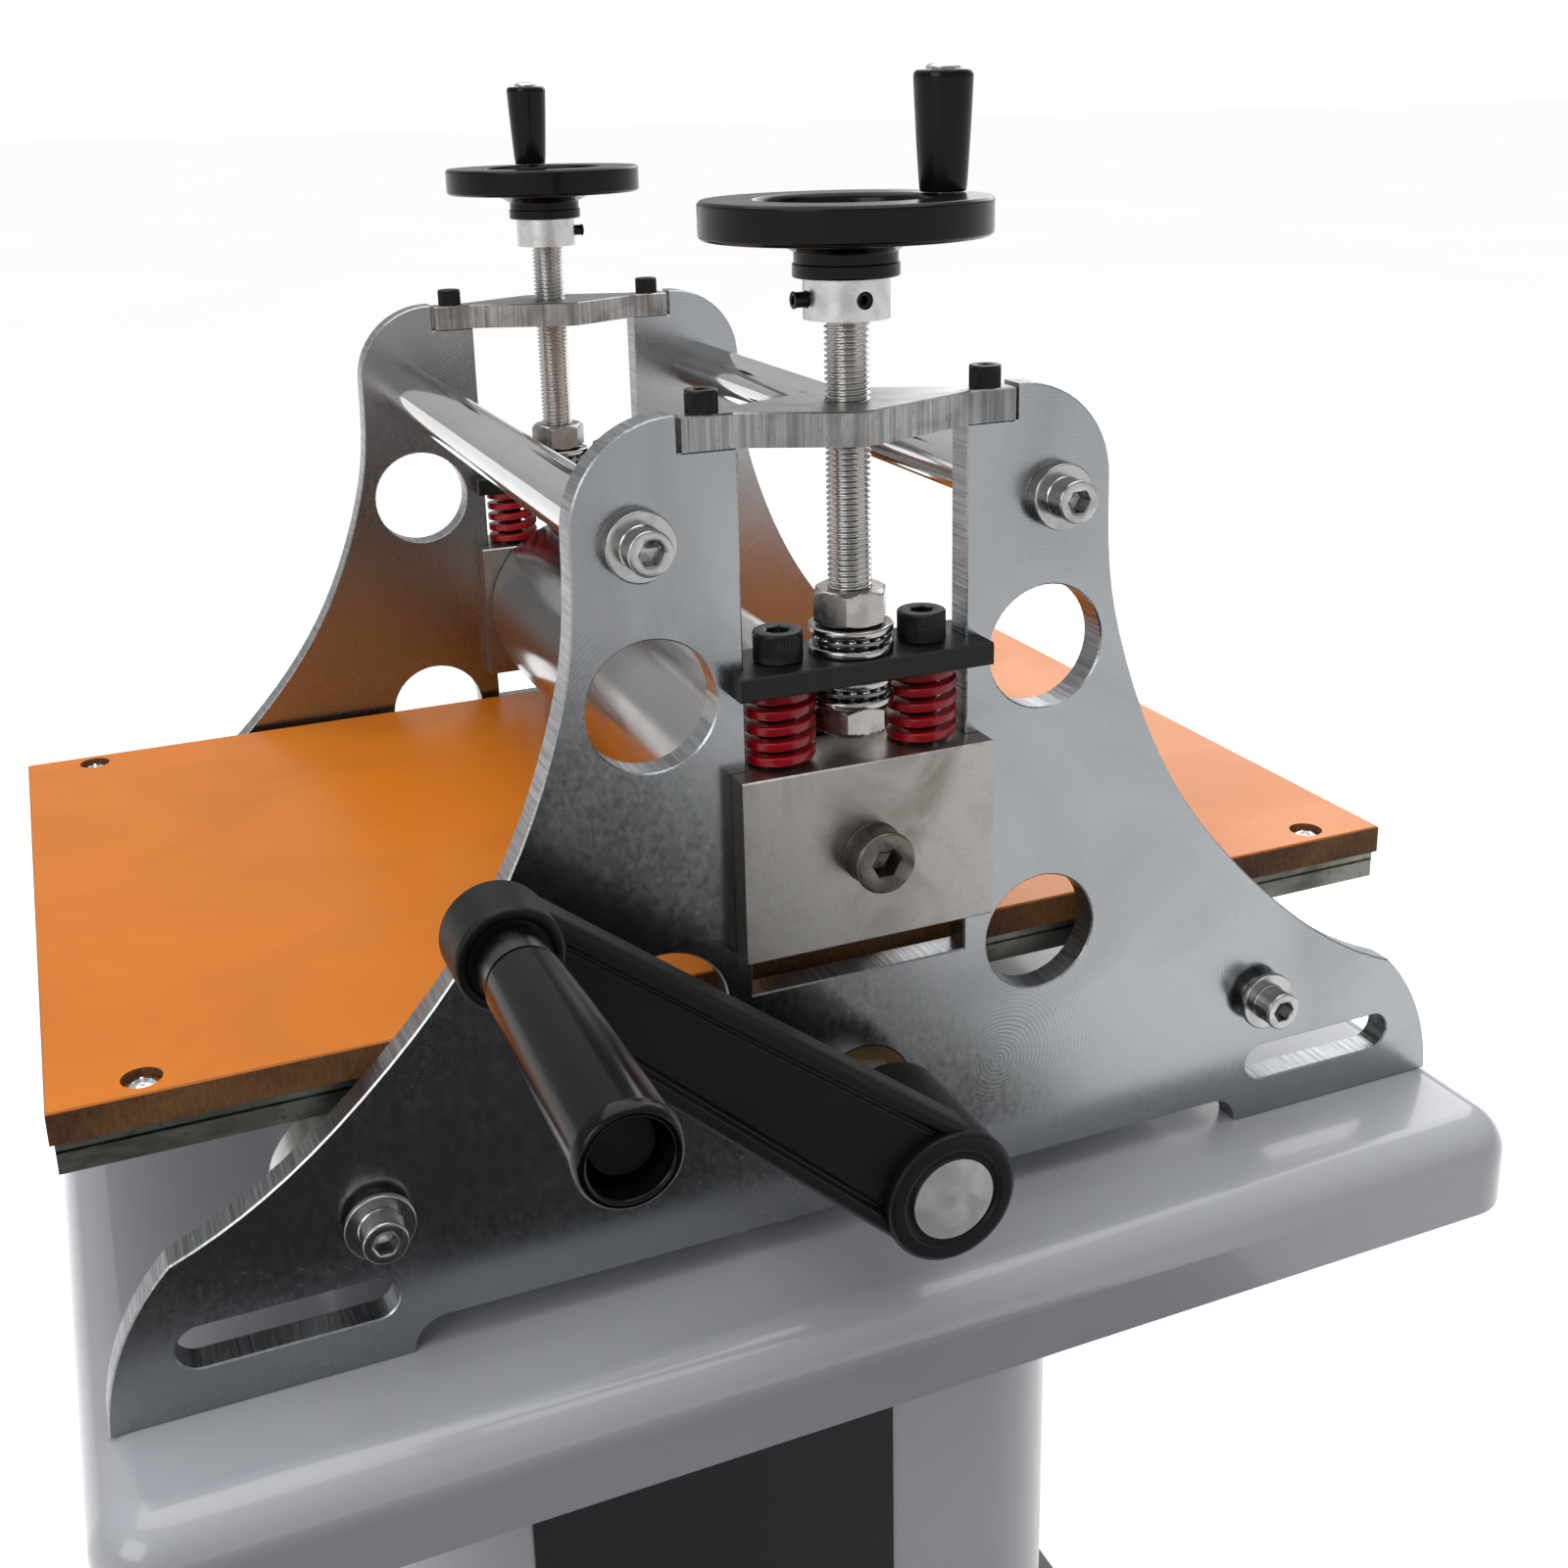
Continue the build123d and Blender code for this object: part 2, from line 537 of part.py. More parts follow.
IDLER_START = PLATE_IN - IDLER_INSET
with BuildPart() as idler_races:
    for x in (-LOWER_ROD_X, LOWER_ROD_X):
        for _, side in SIDES:
            with BuildSketch(along(x, DRIVE_Z)):
                with Locations((ROD_D / 2 + SEAT_GAP, side * (IDLER_START - IDLER_WIDTH / 2))):
                    Rectangle(
                        IDLER_RACE_R - RUN_GAP - ROD_D / 2 - SEAT_GAP,
                        IDLER_WIDTH - IDLER_RACE_SHORT,
                        align=(Align.MIN, Align.CENTER),
                    )
            revolve(axis=Axis((x, 0, STAND_HEIGHT + DRIVE_Z), (0, 1, 0)))
write(idler_races.part, "idler_races")

for name, x in (("left", -LOWER_ROD_X), ("right", LOWER_ROD_X)):
    with BuildPart() as idler_rings:
        for _, side in SIDES:
            with BuildSketch(along(x, DRIVE_Z)):
                with Locations((IDLER_RACE_R, side * (IDLER_START - IDLER_WIDTH / 2))):
                    Rectangle(
                        DRIVE_R - IDLER_RACE_R, IDLER_WIDTH, align=(Align.MIN, Align.CENTER)
                    )
            revolve(axis=Axis((x, 0, STAND_HEIGHT + DRIVE_Z), (0, 1, 0)))
        outer = idler_rings.edges().filter_by(GeomType.CIRCLE)
        chamfer([e for e in outer if e.radius > IDLER_RACE_R + IDLER_RACE_SHORT], ROLLER_CHAMFER)
    write(idler_rings.part, f"idler_rings_{name}")

# ================================================================ drive roller and crank
with BuildPart() as drive_bushes:
    for _, side in SIDES:
        with BuildSketch(across(side * PLATE_OUT)):
            with Locations((0, DRIVE_Z)):
                Circle(BUSH_D / 2)
        extrude(amount=side * PLATE_THICK)
        with BuildSketch(across(side * PLATE_IN)):
            with Locations((0, DRIVE_Z)):
                Circle(BUSH_FLANGE_D / 2)
        extrude(amount=side * BUSH_FLANGE)
    with BuildSketch(across(PLATE_OUT)):
        with Locations((0, DRIVE_Z)):
            Circle(SHAFT_D / 2 + RUN_GAP)
    extrude(amount=2 * PLATE_OUT, mode=Mode.SUBTRACT)
write(drive_bushes.part, "drive_bushes")

ROLLER_HALF = PLATE_IN - BUSH_FLANGE - FACE_GAP
KEY_MID = -HUB_FRONT + KEY_IN + KEY_LENGTH / 2
with BuildPart() as drive_roller:
    with BuildSketch(along(0, DRIVE_Z)):
        with BuildLine():
            Polyline(
                (0, -HUB_FRONT),
                (SHAFT_D / 2, -HUB_FRONT),
                (SHAFT_D / 2, -ROLLER_HALF),
                (DRIVE_R, -ROLLER_HALF),
                (DRIVE_R, ROLLER_HALF),
                (SHAFT_D / 2, ROLLER_HALF),
                (SHAFT_D / 2, PLATE_OUT + SHAFT_OUT),
                (0, PLATE_OUT + SHAFT_OUT),
                close=True,
            )
        make_face()
    revolve(axis=Axis((0, 0, STAND_HEIGHT + DRIVE_Z), (0, 1, 0)))
    with BuildSketch(level(DRIVE_Z + SHAFT_D / 2 - KEY_HIGH / 2)):
        with Locations((0, KEY_MID)):
            Rectangle(KEY_WIDTH, KEY_LENGTH)
    extrude(amount=KEY_HIGH, mode=Mode.SUBTRACT)
write(drive_roller.part, "drive_roller")

with BuildPart() as crank_key:
    with BuildSketch(level(DRIVE_Z + SHAFT_D / 2 - KEY_HIGH / 2)):
        with Locations((0, KEY_MID)):
            Rectangle(KEY_WIDTH, KEY_LENGTH)
    extrude(amount=KEY_HIGH)
write(crank_key.part, "crank_key")

arm_way = Vector(math.cos(math.radians(ARM_ANGLE)), math.sin(math.radians(ARM_ANGLE)))
arm_side = Vector(-arm_way.Y, arm_way.X)
hub_point = Vector(0, DRIVE_Z)
boss_point = Vector(BOSS_X, BOSS_Z)


def arm_outline(inset):
    """Tapered outline that joins the hub's circle to the boss's circle, drawn in by inset."""
    hub_r = HUB_D / 2 - inset
    boss_r = BOSS_D / 2 - inset
    lean = math.asin((hub_r - boss_r) / ARM_REACH)
    upper = arm_way * math.sin(lean) + arm_side * math.cos(lean)
    lower = arm_way * math.sin(lean) - arm_side * math.cos(lean)
    Line(hub_point + upper * hub_r, boss_point + upper * boss_r)
    ThreePointArc(
        boss_point + upper * boss_r, boss_point + arm_way * boss_r, boss_point + lower * boss_r
    )
    Line(boss_point + lower * boss_r, hub_point + lower * hub_r)
    ThreePointArc(
        hub_point + lower * hub_r, hub_point - arm_way * hub_r, hub_point + upper * hub_r
    )


with BuildPart() as crank_arm:
    with BuildSketch(across(-ARM_BACK)):
        with BuildLine():
            arm_outline(ARM_STEP)
        make_face()
    extrude(amount=ARM_FRONT - ARM_BACK)
    with BuildSketch(across(-ARM_FRONT)):
        with BuildLine():
            arm_outline(ARM_BORDER)
        make_face()
        with Locations((0, DRIVE_Z)):
            Circle(HUB_D / 2, mode=Mode.SUBTRACT)
        with Locations((BOSS_X, BOSS_Z)):
            Circle(BOSS_D / 2, mode=Mode.SUBTRACT)
    extrude(amount=-ARM_PANEL_DEPTH, mode=Mode.SUBTRACT)
    with BuildSketch(across(-(HUB_FRONT - HUB_LENGTH))):
        with Locations((0, DRIVE_Z)):
            Circle(HUB_D / 2)
    extrude(amount=HUB_LENGTH)
    with BuildSketch(across(-ARM_BACK)):
        with Locations((BOSS_X, BOSS_Z)):
            Circle(BOSS_D / 2)
    extrude(amount=BOSS_FRONT - ARM_BACK)
    with BuildSketch(across(-HUB_FRONT)):
        with Locations((0, DRIVE_Z)):
            Circle(SHAFT_D / 2 + SEAT_GAP)
    extrude(amount=-HUB_LENGTH, mode=Mode.SUBTRACT)
    with BuildSketch(across(-BOSS_FRONT)):
        with Locations((BOSS_X, BOSS_Z)):
            Circle(GRIP_PIN_D / 2 + SEAT_GAP)
    extrude(amount=-(BOSS_FRONT - ARM_BACK), mode=Mode.SUBTRACT)
    with BuildSketch(level(DRIVE_Z + SHAFT_D / 2 - KEY_HIGH / 2)):
        with Locations((0, KEY_MID)):
            Rectangle(KEY_WIDTH, KEY_LENGTH)
    extrude(amount=KEY_HIGH, mode=Mode.SUBTRACT)
write(crank_arm.part, "crank_arm")

GRIP_BACK = BOSS_FRONT + FERRULE_LENGTH + FACE_GAP
GRIP_FRONT = GRIP_BACK + GRIP_LENGTH
PIN_HEAD_BACK = GRIP_FRONT - GRIP_POCKET + FACE_GAP
grip_axis = Axis((BOSS_X, 0, STAND_HEIGHT + BOSS_Z), (0, 1, 0))
with BuildPart() as crank_grip_pin:
    with BuildSketch(along(BOSS_X, BOSS_Z)):
        with BuildLine():
            Polyline(
                (0, -ARM_BACK),
                (GRIP_PIN_D / 2, -ARM_BACK),
                (GRIP_PIN_D / 2, -PIN_HEAD_BACK),
                (GRIP_PIN_HEAD_D / 2, -PIN_HEAD_BACK),
                (GRIP_PIN_HEAD_D / 2, -PIN_HEAD_BACK - GRIP_PIN_HEAD),
                (0, -PIN_HEAD_BACK - GRIP_PIN_HEAD),
                close=True,
            )
        make_face()
    revolve(axis=grip_axis)
write(crank_grip_pin.part, "crank_grip_pin")

with BuildPart() as crank_ferrule:
    with BuildSketch(across(-BOSS_FRONT)):
        with Locations((BOSS_X, BOSS_Z)):
            Circle(FERRULE_D / 2)
            Circle(GRIP_PIN_D / 2 + SEAT_GAP, mode=Mode.SUBTRACT)
    extrude(amount=FERRULE_LENGTH)
write(crank_ferrule.part, "crank_ferrule")

with BuildPart() as crank_grip:
    with BuildSketch(along(BOSS_X, BOSS_Z)):
        with BuildLine():
            bore = GRIP_PIN_D / 2 + RUN_GAP
            Polyline(
                (GRIP_START_D / 2, -GRIP_BACK),
                (bore, -GRIP_BACK),
                (bore, -(GRIP_FRONT - GRIP_POCKET)),
                (GRIP_POCKET_D / 2, -(GRIP_FRONT - GRIP_POCKET)),
                (GRIP_POCKET_D / 2, -GRIP_FRONT),
                (GRIP_END_D / 2 - GRIP_LIP, -GRIP_FRONT),
            )
            bulge = math.sqrt(0.5)
            ThreePointArc(
                (GRIP_END_D / 2 - GRIP_LIP, -GRIP_FRONT),
                (
                    GRIP_END_D / 2 - GRIP_LIP * (1 - bulge),
                    -GRIP_FRONT + GRIP_LIP_LONG * (1 - bulge),
                ),
                (GRIP_END_D / 2, -GRIP_FRONT + GRIP_LIP_LONG),
            )
            ThreePointArc(
                (GRIP_END_D / 2, -GRIP_FRONT + GRIP_LIP_LONG),
                (GRIP_END_D / 2 - GRIP_WAIST, -(GRIP_BACK + GRIP_FRONT) / 2),
                (GRIP_START_D / 2, -GRIP_BACK),
            )
        make_face()
    revolve(axis=grip_axis)
write(crank_grip.part, "crank_grip")

# ================================================================ bed
BED_SCREW_X = BOARD_LENGTH / 2 - BED_SCREW_IN_X
BED_SCREW_Y = BOARD_WIDTH / 2 - BED_SCREW_IN_Y
BED_SCREWS = [
    (BOARD_CENTRE + sx * BED_SCREW_X, sy * BED_SCREW_Y) for sx in (-1, 1) for sy in (-1, 1)
]
HEAD_SEAT = BED_TOP - BED_SCREW_POCKET
with BuildPart() as bed_board:
    with BuildSketch(level(BED_UNDERSIDE + BED_PLATE_THICK)):
        with Locations((BOARD_CENTRE, 0)):
            Rectangle(BOARD_LENGTH, BOARD_WIDTH)
        with Locations(*BED_SCREWS):
            Circle(BED_SCREW_D / 2 + BOLT_GAP, mode=Mode.SUBTRACT)
    extrude(amount=BOARD_THICK)
    with BuildSketch(level(BED_TOP)):
        with Locations(*BED_SCREWS):
            Circle(BED_SCREW_POCKET_D / 2)
    extrude(amount=-BED_SCREW_POCKET, mode=Mode.SUBTRACT)
    chamfer(bed_board.faces().sort_by(Axis.Z)[-1].outer_wire().edges(), EDGE_BREAK)
write(bed_board.part, "bed_board")

with BuildPart() as bed_plate:
    with BuildSketch(level(BED_UNDERSIDE)):
        with Locations((BOARD_CENTRE, 0)):
            Rectangle(BOARD_LENGTH - 2 * BED_INSET, BOARD_WIDTH - 2 * BED_INSET)
        with Locations(*BED_SCREWS):
            Circle(BED_SCREW_D / 2 + SEAT_GAP, mode=Mode.SUBTRACT)
    extrude(amount=BED_PLATE_THICK)
write(bed_plate.part, "bed_plate")

with BuildPart() as bed_screws:
    with BuildSketch(level(HEAD_SEAT)):
        with Locations(*BED_SCREWS):
            Circle(BED_SCREW_HEAD_D / 2)
    extrude(amount=BED_SCREW_HEAD)
    with BuildSketch(level(BED_UNDERSIDE + BED_SCREW_SHORT)):
        with Locations(*BED_SCREWS):
            Circle(BED_SCREW_D / 2)
    extrude(amount=HEAD_SEAT - BED_UNDERSIDE - BED_SCREW_SHORT)
    with BuildSketch(level(HEAD_SEAT + BED_SCREW_HEAD)):
        with Locations(*BED_SCREWS):
            Rectangle(BED_SCREW_CROSS[0], BED_SCREW_CROSS[1])
            Rectangle(BED_SCREW_CROSS[1], BED_SCREW_CROSS[0])
    extrude(amount=-BED_SCREW_CROSS[2], mode=Mode.SUBTRACT)
write(bed_screws.part, "bed_screws")

# ================================================================ carriage: blocks, axle and their bolts
for name, side in SIDES:
    middle = side * PLATE_MID
    with BuildPart() as bearing_block:
        with BuildSketch(level(BLOCK_BOTTOM)):
            with Locations((0, middle)):
                Rectangle(2 * BLOCK_HALF, BLOCK_DEPTH)
            for way in (-1, 1):
                with Locations((way * (GROOVE_BOTTOM + BLOCK_HALF) / 2, middle)):
                    Rectangle(BLOCK_HALF - GROOVE_BOTTOM, GROOVE_WIDTH, mode=Mode.SUBTRACT)
        extrude(amount=BLOCK_TOP - BLOCK_BOTTOM)
        chamfer(bearing_block.edges().filter_by(Axis.X).group_by(Axis.Y)[0], EDGE_BREAK)
        chamfer(bearing_block.edges().filter_by(Axis.X).group_by(Axis.Y)[-1], EDGE_BREAK)
        with BuildSketch(across(middle + BLOCK_DEPTH / 2)):
            with Locations((0, AXLE_Z)):
                Circle(AXLE_BOLT_D / 2 + BOLT_GAP)
        extrude(amount=BLOCK_DEPTH, mode=Mode.SUBTRACT)
        with BuildSketch(across(side * BLOCK_IN)):
            with Locations((0, AXLE_Z)):
                Circle(AXLE_D / 2 + SEAT_GAP)
        extrude(amount=-side * AXLE_STUB, mode=Mode.SUBTRACT)
        with BuildSketch(level(BLOCK_TOP)):
            with Locations((SPRING_X, middle), (-SPRING_X, middle)):
                Circle(CARRIAGE_BOLT_D / 2 + SEAT_GAP)
        extrude(amount=-CARRIAGE_BOLT_DEPTH, mode=Mode.SUBTRACT)
    write(bearing_block.part, f"bearing_block_{name}")

AXLE_HALF = BLOCK_IN + AXLE_STUB
with BuildPart() as roller_axle:
    with BuildSketch(across(AXLE_HALF)):
        with Locations((0, AXLE_Z)):
            Circle(AXLE_D / 2)
    extrude(amount=2 * AXLE_HALF)
    for _, side in SIDES:
        with BuildSketch(across(side * AXLE_HALF)):
            with Locations((0, AXLE_Z)):
                Circle(AXLE_BOLT_D / 2 + SEAT_GAP)
        extrude(amount=side * AXLE_BOLT_DEPTH, mode=Mode.SUBTRACT)
write(roller_axle.part, "roller_axle")

with BuildPart() as axle_bolts:
    for _, side in SIDES:
        with BuildSketch(across(side * BLOCK_OUT)):
            with Locations((0, AXLE_Z)):
                Circle(AXLE_BOLT_HEAD_D / 2)
        extrude(amount=-side * AXLE_BOLT_HEAD)
        with BuildSketch(across(side * BLOCK_OUT)):
            with Locations((0, AXLE_Z)):
                Circle(AXLE_BOLT_D / 2)
        extrude(amount=side * (BLOCK_OUT - AXLE_HALF + AXLE_BOLT_DEPTH))
        with BuildSketch(across(side * (BLOCK_OUT + AXLE_BOLT_HEAD))):
            with Locations((0, AXLE_Z)):
                RegularPolygon(AXLE_SOCKET, 6, major_radius=False)
        extrude(amount=side * AXLE_BOLT_HEAD * SOCKET_DEPTH, mode=Mode.SUBTRACT)
write(axle_bolts.part, "axle_bolts")

BOLT_PLACES = [(x, side * PLATE_MID) for x in (-SPRING_X, SPRING_X) for _, side in SIDES]
HEAD_UNDERSIDE = BAR_TOP + FACE_GAP
with BuildPart() as carriage_bolts:
    with BuildSketch(level(HEAD_UNDERSIDE)):
        with Locations(*BOLT_PLACES):
            Circle(CARRIAGE_HEAD_D / 2)
    extrude(amount=CARRIAGE_HEAD)
    with BuildSketch(level(BLOCK_TOP - CARRIAGE_BOLT_DEPTH)):
        with Locations(*BOLT_PLACES):
            Circle(CARRIAGE_BOLT_D / 2)
    extrude(amount=HEAD_UNDERSIDE - BLOCK_TOP + CARRIAGE_BOLT_DEPTH)
    with BuildSketch(level(HEAD_UNDERSIDE + CARRIAGE_HEAD)):
        with Locations(*BOLT_PLACES):
            RegularPolygon(CARRIAGE_SOCKET, 6, major_radius=False)
    extrude(amount=-CARRIAGE_HEAD * SOCKET_DEPTH, mode=Mode.SUBTRACT)
write(carriage_bolts.part, "carriage_bolts")

# ================================================================ upper roller
UPPER_HALF = BLOCK_IN - ROLLER_END_GAP
roller_axis = Axis((0, 0, STAND_HEIGHT + AXLE_Z), (0, 1, 0))
with BuildPart() as upper_roller:
    with BuildSketch(along(0, AXLE_Z)):
        with Locations((ROLLER_R - ROLLER_WALL, 0)):
            Rectangle(ROLLER_WALL, 2 * UPPER_HALF, align=(Align.MIN, Align.CENTER))
    revolve(axis=roller_axis)
    rims = upper_roller.edges().filter_by(GeomType.CIRCLE)
    chamfer([e for e in rims if e.radius > ROLLER_R - ROLLER_WALL / 2], ROLLER_CHAMFER)
write(upper_roller.part, "upper_roller")

with BuildPart() as roller_bushes:
    for _, side in SIDES:
        with BuildSketch(along(0, AXLE_Z)):
            with Locations((AXLE_D / 2 + RUN_GAP, side * (UPPER_HALF - ROLLER_BUSH_IN - ROLLER_BUSH_LENGTH / 2))):
                Rectangle(
                    ROLLER_R - ROLLER_WALL - SEAT_GAP - AXLE_D / 2 - RUN_GAP,
                    ROLLER_BUSH_LENGTH,
                    align=(Align.MIN, Align.CENTER),
                )
        revolve(axis=roller_axis)
write(roller_bushes.part, "roller_bushes")

# ================================================================ pressure bars, springs, thrust bearings
for name, side in SIDES:
    middle = side * PLATE_MID
    with BuildPart() as pressure_bar:
        with BuildSketch(level(BAR_UNDERSIDE)):
            with Locations((0, middle)):
                Rectangle(2 * BAR_HALF, BLOCK_DEPTH)
                Circle(SCREW_D / 2 + RUN_GAP, mode=Mode.SUBTRACT)
            for way in (-1, 1):
                with Locations((way * (GROOVE_BOTTOM + BAR_HALF) / 2, middle)):
                    Rectangle(BAR_HALF - GROOVE_BOTTOM, GROOVE_WIDTH, mode=Mode.SUBTRACT)
                with Locations((way * SPRING_X, middle)):
                    Circle(CARRIAGE_BOLT_D / 2 + GUIDE_GAP, mode=Mode.SUBTRACT)
        extrude(amount=BAR_THICK)
        chamfer(pressure_bar.edges().filter_by(Axis.X).group_by(Axis.Y)[0], EDGE_BREAK)
        chamfer(pressure_bar.edges().filter_by(Axis.X).group_by(Axis.Y)[-1], EDGE_BREAK)
    write(pressure_bar.part, f"pressure_bar_{name}")

    coil_low = BLOCK_TOP + FACE_GAP
    coil_high = BAR_UNDERSIDE
    coil_rise = coil_high - coil_low - SPRING_WIRE_HIGH
    coil_radius = (SPRING_OD - SPRING_WIRE_WIDE) / 2
    with BuildPart() as die_springs:
        for x in (-SPRING_X, SPRING_X):
            start = STAND_HEIGHT + coil_low + SPRING_WIRE_HIGH / 2
            with BuildLine():
                coil = Helix(
                    pitch=coil_rise / SPRING_TURNS,
                    height=coil_rise,
                    radius=coil_radius,
                    center=(x, middle, start),
                )
            wire_end = Plane(
                origin=(x + coil_radius, middle, start), x_dir=(1, 0, 0), z_dir=(0, 1, 0)
            )
            with BuildSketch(wire_end):
                Rectangle(SPRING_WIRE_WIDE, SPRING_WIRE_HIGH)
            sweep(path=coil, is_frenet=True)
    write(die_springs.part, f"die_springs_{name}")

with BuildPart() as thrust_bearings:
    for _, side in SIDES:
        for base in (BAR_TOP, BAR_UNDERSIDE - THRUST_STACK):
            for start, thick, diameter in (
                (0, THRUST_WASHER, THRUST_D),
                (THRUST_WASHER, THRUST_CAGE, THRUST_CAGE_D),
                (THRUST_WASHER + THRUST_CAGE, THRUST_WASHER, THRUST_D),
            ):
                with BuildSketch(level(base + start)):
                    with Locations((0, side * PLATE_MID)):
                        Circle(diameter / 2)
                        Circle(SCREW_D / 2 + GUIDE_GAP, mode=Mode.SUBTRACT)
                extrude(amount=thick)
write(thrust_bearings.part, "thrust_bearings")

# ================================================================ bridges
for name, side in SIDES:
    middle = side * PLATE_MID
    nose_x = side * BRIDGE_NOSE_X
    tab = BRIDGE_HALF - BRIDGE_TAB
    with BuildPart() as bridge:
        with BuildSketch(Plane(origin=(0, middle, STAND_HEIGHT + BRIDGE_BOTTOM))):
            with BuildLine():
                Polyline(
                    (-BRIDGE_HALF, -PLATE_THICK / 2),
                    (-tab, -PLATE_THICK / 2),
                    (nose_x - BRIDGE_NOSE_HALF, -BRIDGE_NOSE),
                    (nose_x + BRIDGE_NOSE_HALF, -BRIDGE_NOSE),
                    (tab, -PLATE_THICK / 2),
                    (BRIDGE_HALF, -PLATE_THICK / 2),
                    (BRIDGE_HALF, PLATE_THICK / 2),
                    (tab, PLATE_THICK / 2),
                    (-nose_x + BRIDGE_NOSE_HALF, BRIDGE_NOSE),
                    (-nose_x - BRIDGE_NOSE_HALF, BRIDGE_NOSE),
                    (-tab, PLATE_THICK / 2),
                    (-BRIDGE_HALF, PLATE_THICK / 2),
                    close=True,
                )
            make_face()
            Circle(SCREW_D / 2 + RUN_GAP, mode=Mode.SUBTRACT)
            with Locations((BRIDGE_BOLT_X, 0), (-BRIDGE_BOLT_X, 0)):
                Circle(BRIDGE_BOLT_D / 2 + GUIDE_GAP, mode=Mode.SUBTRACT)
        extrude(amount=BRIDGE_THICK)
        chamfer(bridge.faces().sort_by(Axis.Z)[-1].outer_wire().edges(), EDGE_BREAK)
    write(bridge.part, f"bridge_plate_{name}")

BRIDGE_BOLTS = [(x, side * PLATE_MID) for x in (-BRIDGE_BOLT_X, BRIDGE_BOLT_X) for _, side in SIDES]
with BuildPart() as bridge_bolts:
    with BuildSketch(level(BRIDGE_TOP)):
        with Locations(*BRIDGE_BOLTS):
            Circle(BRIDGE_HEAD_D / 2)
    extrude(amount=BRIDGE_HEAD)
    with BuildSketch(level(BRIDGE_BOTTOM - BRIDGE_BOLT_DEPTH)):
        with Locations(*BRIDGE_BOLTS):
            Circle(BRIDGE_BOLT_D / 2)
    extrude(amount=BRIDGE_THICK + BRIDGE_BOLT_DEPTH)
    with BuildSketch(level(BRIDGE_TOP + BRIDGE_HEAD)):
        with Locations(*BRIDGE_BOLTS):
            RegularPolygon(BRIDGE_SOCKET, 6, major_radius=False)
    extrude(amount=-BRIDGE_HEAD * SOCKET_DEPTH, mode=Mode.SUBTRACT)
write(bridge_bolts.part, "bridge_bolts")

